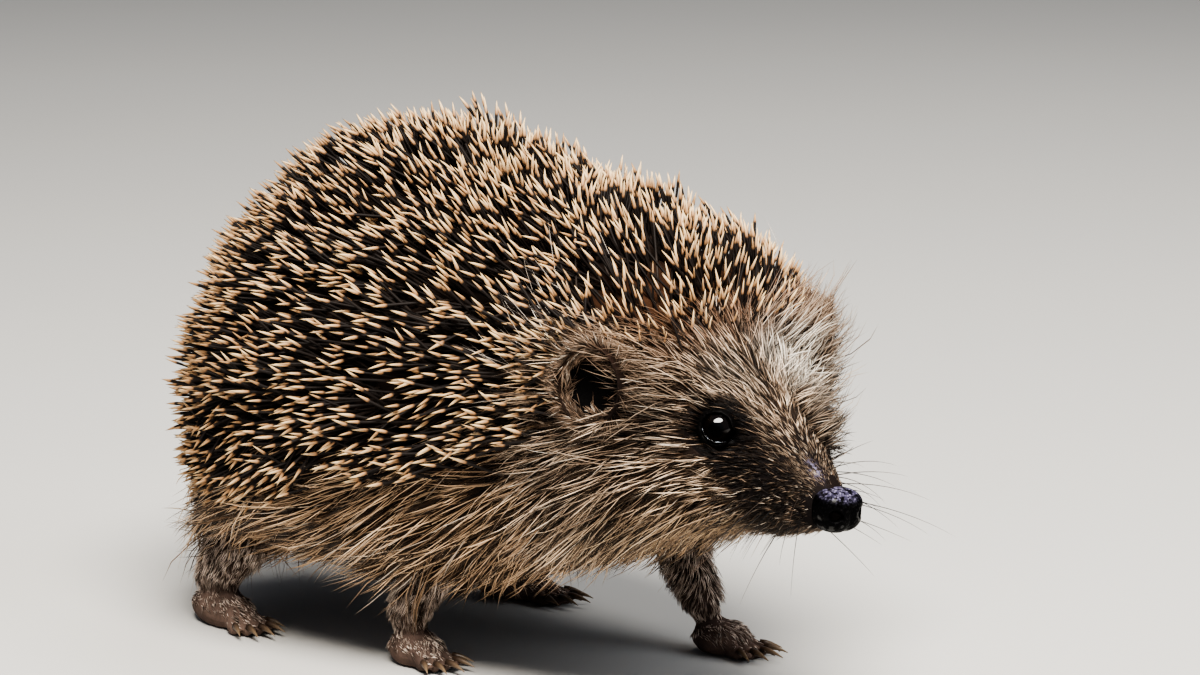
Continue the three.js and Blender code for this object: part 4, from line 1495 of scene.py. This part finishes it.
class HEDGEHOG_OT_stage(bpy.types.Operator):
    """Lay the pale floor, set the soft lights and aim the camera"""

    bl_idname = "hedgehog.stage"
    bl_label = "Stage"

    def execute(self, context):
        scene = context.scene
        deselect()
        bpy.ops.mesh.primitive_plane_add(size=12, location=(0, 0, 0))
        floor = context.view_layer.objects.active
        floor.name = "floor"
        material, n = new_material("Pale floor", Roughness=0.85, Specular_IOR_Level=0.2)
        n.shade(Base_Color=n.blend(n.noise(3, 3), (0.5, 0.49, 0.47), (0.54, 0.53, 0.51)))
        floor.data.materials.append(material)
        target = Vector(TARGET)
        self.light("key", target, 45, 58, 0.95, 0.66, 30.0, (1.0, 0.95, 0.87), 0.6)
        # The other two soften the shadows and leave no second glint in the eyes.
        self.light("fill", target, 110, 35, 1.2, 0.9, 6.0, (0.9, 0.95, 1.0)).visible_glossy = False
        self.light("rim", target, 190, 60, 1.1, 0.6, 5.0, (1.0, 0.96, 0.9)).visible_glossy = False
        world = bpy.data.worlds.new("Soft room")
        world.use_nodes = True
        room = Nodes(world.node_tree, world.node_tree.nodes["Background"])
        # The room lights the model softly and looks as pale as the floor.
        seen = room.add("ShaderNodeLightPath").outputs["Is Camera Ray"]
        room.shade(Color=(0.8, 0.87, 1.0), Strength=room.math("MULTIPLY_ADD", seen, 0.35, 0.2))
        scene.world = world
        scene.view_settings.look = "AgX - Medium High Contrast"
        data = bpy.data.cameras.new("Camera")
        data.lens, data.sensor_width = LENS, 36.0
        data.shift_x, data.shift_y = (shift / PICTURE_WIDTH for shift in PICTURE_SHIFT)
        data.clip_start, data.clip_end = 0.01, 20
        camera = bpy.data.objects.new("Camera", data)
        self.aim(camera, target, *CAMERA_VIEW)
        bpy.context.scene.camera = camera
        return {"FINISHED"}

    def aim(self, obj, target, azimuth, elevation, distance):
        """Stands a camera or light off the target and turns it to face it."""
        a, e = math.radians(azimuth), math.radians(elevation)
        way = Vector((math.sin(a) * math.cos(e), -math.cos(a) * math.cos(e), math.sin(e)))
        obj.location = target + way * distance
        obj.rotation_euler = (target - obj.location).to_track_quat("-Z", "Y").to_euler()
        bpy.context.scene.collection.objects.link(obj)

    def light(self, name, target, azimuth, elevation, distance, size, power, colour, flatness=1.0):
        data = bpy.data.lights.new(name, "AREA")
        data.shape, data.size, data.size_y = "ELLIPSE", size, size * flatness
        data.energy, data.color = power, colour
        obj = bpy.data.objects.new(name, data)
        self.aim(obj, target, azimuth, elevation, distance)
        return obj


# ------------------------------------------------------------------ settings and panel
def length(name, description, default):
    return FloatProperty(name=name, description=description, unit="LENGTH", default=default)


def count(name, description, default):
    return IntProperty(name=name, description=description, min=0, default=default)


def colour(name, description, default):
    limits = {"size": 3, "min": 0, "max": 1}
    return FloatVectorProperty(name=name, description=description, subtype="COLOR", default=default, **limits)


class HedgehogSizes(bpy.types.PropertyGroup):
    skin_voxel: length("Skin detail", "Size of the skin's faces before it is smoothed", 0.0009)
    spine_gap: length("Spine gap", "Least distance between two spines' tips", 0.00168)
    spine_width: length("Spine width", "Width of a spine at its thickest", 0.0008)
    muzzle_hairs: count("Muzzle hairs", "Short hairs on each side of the snout", 8500)
    face_hairs: count("Face hairs", "Hairs on each side of the face", 12000)
    ruff_hairs: count("Ruff hairs", "Long hairs before each ear", 1000)
    skirt_hairs: count("Skirt hairs", "Long hairs on each flank", 12200)
    belly_hairs: count("Belly hairs", "Hairs under the body", 4000)
    leg_hairs: count("Leg hairs", "Hairs on each leg and paw", 3300)
    ear_hairs: count("Ear hairs", "Short hairs round each ear", 3000)
    silver_hairs: count("Silver hairs", "Long pale hairs behind each ear", 48)
    jaw_hairs: count("Jaw hairs", "Long pale hairs under each side of the jaw", 3)
    whiskers: count("Whiskers", "Most whiskers on each side of the muzzle", 22)


class HedgehogColours(bpy.types.PropertyGroup):
    spine_tip: colour("Spine tip", "Cream points of the spines", (0.78, 0.57, 0.33))
    spine_base: colour("Spine tip's base", "Where the cream meets the dark band", (0.4, 0.22, 0.11))
    spine_band: colour("Spine band", "Dark band under the cream", (0.009, 0.006, 0.005))
    fur_root: colour("Hair roots", "Dark roots of all the fur", (0.009, 0.006, 0.004))
    face_middle: colour("Face hair", "Middle of the face's hairs", (0.2, 0.125, 0.075))
    face_tip: colour("Face hair tips", "Pale tips of the face's hairs", (0.72, 0.56, 0.42))
    skirt_middle: colour("Skirt hair", "Middle of the long hairs", (0.135, 0.073, 0.037))
    skirt_tip: colour("Skirt hair tips", "Tips of the long hairs", (0.8, 0.57, 0.37))
    leg_middle: colour("Leg hair", "Middle of the legs' hairs", (0.3, 0.23, 0.2))
    leg_tip: colour("Leg hair tips", "Tips of the legs' hairs", (0.6, 0.5, 0.44))
    pale_fur: colour("Pale forehead", "Silvery hairs beside the forehead's middle", (1.0, 0.93, 0.82))
    rust: colour("Rusty brow", "Hairs among the first spines", (0.15, 0.055, 0.018))
    mask: colour("Dark mask", "Muzzle, eye ring and stripe", (0.005, 0.0035, 0.0035))
    skin: colour("Skin", "Skin under the coat", (0.022, 0.014, 0.011))
    under_fur: colour("Underfur", "Dark short underfur", (0.009, 0.006, 0.0045))


OPERATORS = (
    HEDGEHOG_OT_stage,
    HEDGEHOG_OT_skin,
    HEDGEHOG_OT_eyes,
    HEDGEHOG_OT_nose,
    HEDGEHOG_OT_claws,
    HEDGEHOG_OT_spines,
    HEDGEHOG_OT_face_fur,
    HEDGEHOG_OT_skirt_fur,
    HEDGEHOG_OT_limb_fur,
    HEDGEHOG_OT_ear_fur,
    HEDGEHOG_OT_whiskers,
)


class HEDGEHOG_PT_panel(bpy.types.Panel):
    bl_idname = "HEDGEHOG_PT_panel"
    bl_label = "Hedgehog"
    bl_space_type = "VIEW_3D"
    bl_region_type = "UI"
    bl_category = "Hedgehog"

    def draw(self, context):
        for operator in OPERATORS:
            self.layout.operator(operator.bl_idname)


CLASSES = (HedgehogSizes, HedgehogColours) + OPERATORS + (HEDGEHOG_PT_panel,)


def register():
    for cls in CLASSES:
        bpy.utils.register_class(cls)
    bpy.types.Scene.hedgehog_sizes = PointerProperty(type=HedgehogSizes)
    bpy.types.Scene.hedgehog_colours = PointerProperty(type=HedgehogColours)


def unregister():
    del bpy.types.Scene.hedgehog_colours
    del bpy.types.Scene.hedgehog_sizes
    for cls in reversed(CLASSES):
        bpy.utils.unregister_class(cls)


def main():
    register()
    bpy.ops.hedgehog.stage()
    bpy.ops.hedgehog.skin()
    bpy.ops.hedgehog.eyes()
    bpy.ops.hedgehog.nose()
    bpy.ops.hedgehog.claws()
    bpy.ops.hedgehog.spines()
    bpy.ops.hedgehog.face_fur()
    bpy.ops.hedgehog.skirt_fur()
    bpy.ops.hedgehog.limb_fur()
    bpy.ops.hedgehog.ear_fur()
    bpy.ops.hedgehog.whiskers()
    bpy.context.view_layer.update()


if __name__ == "__main__":
    main()
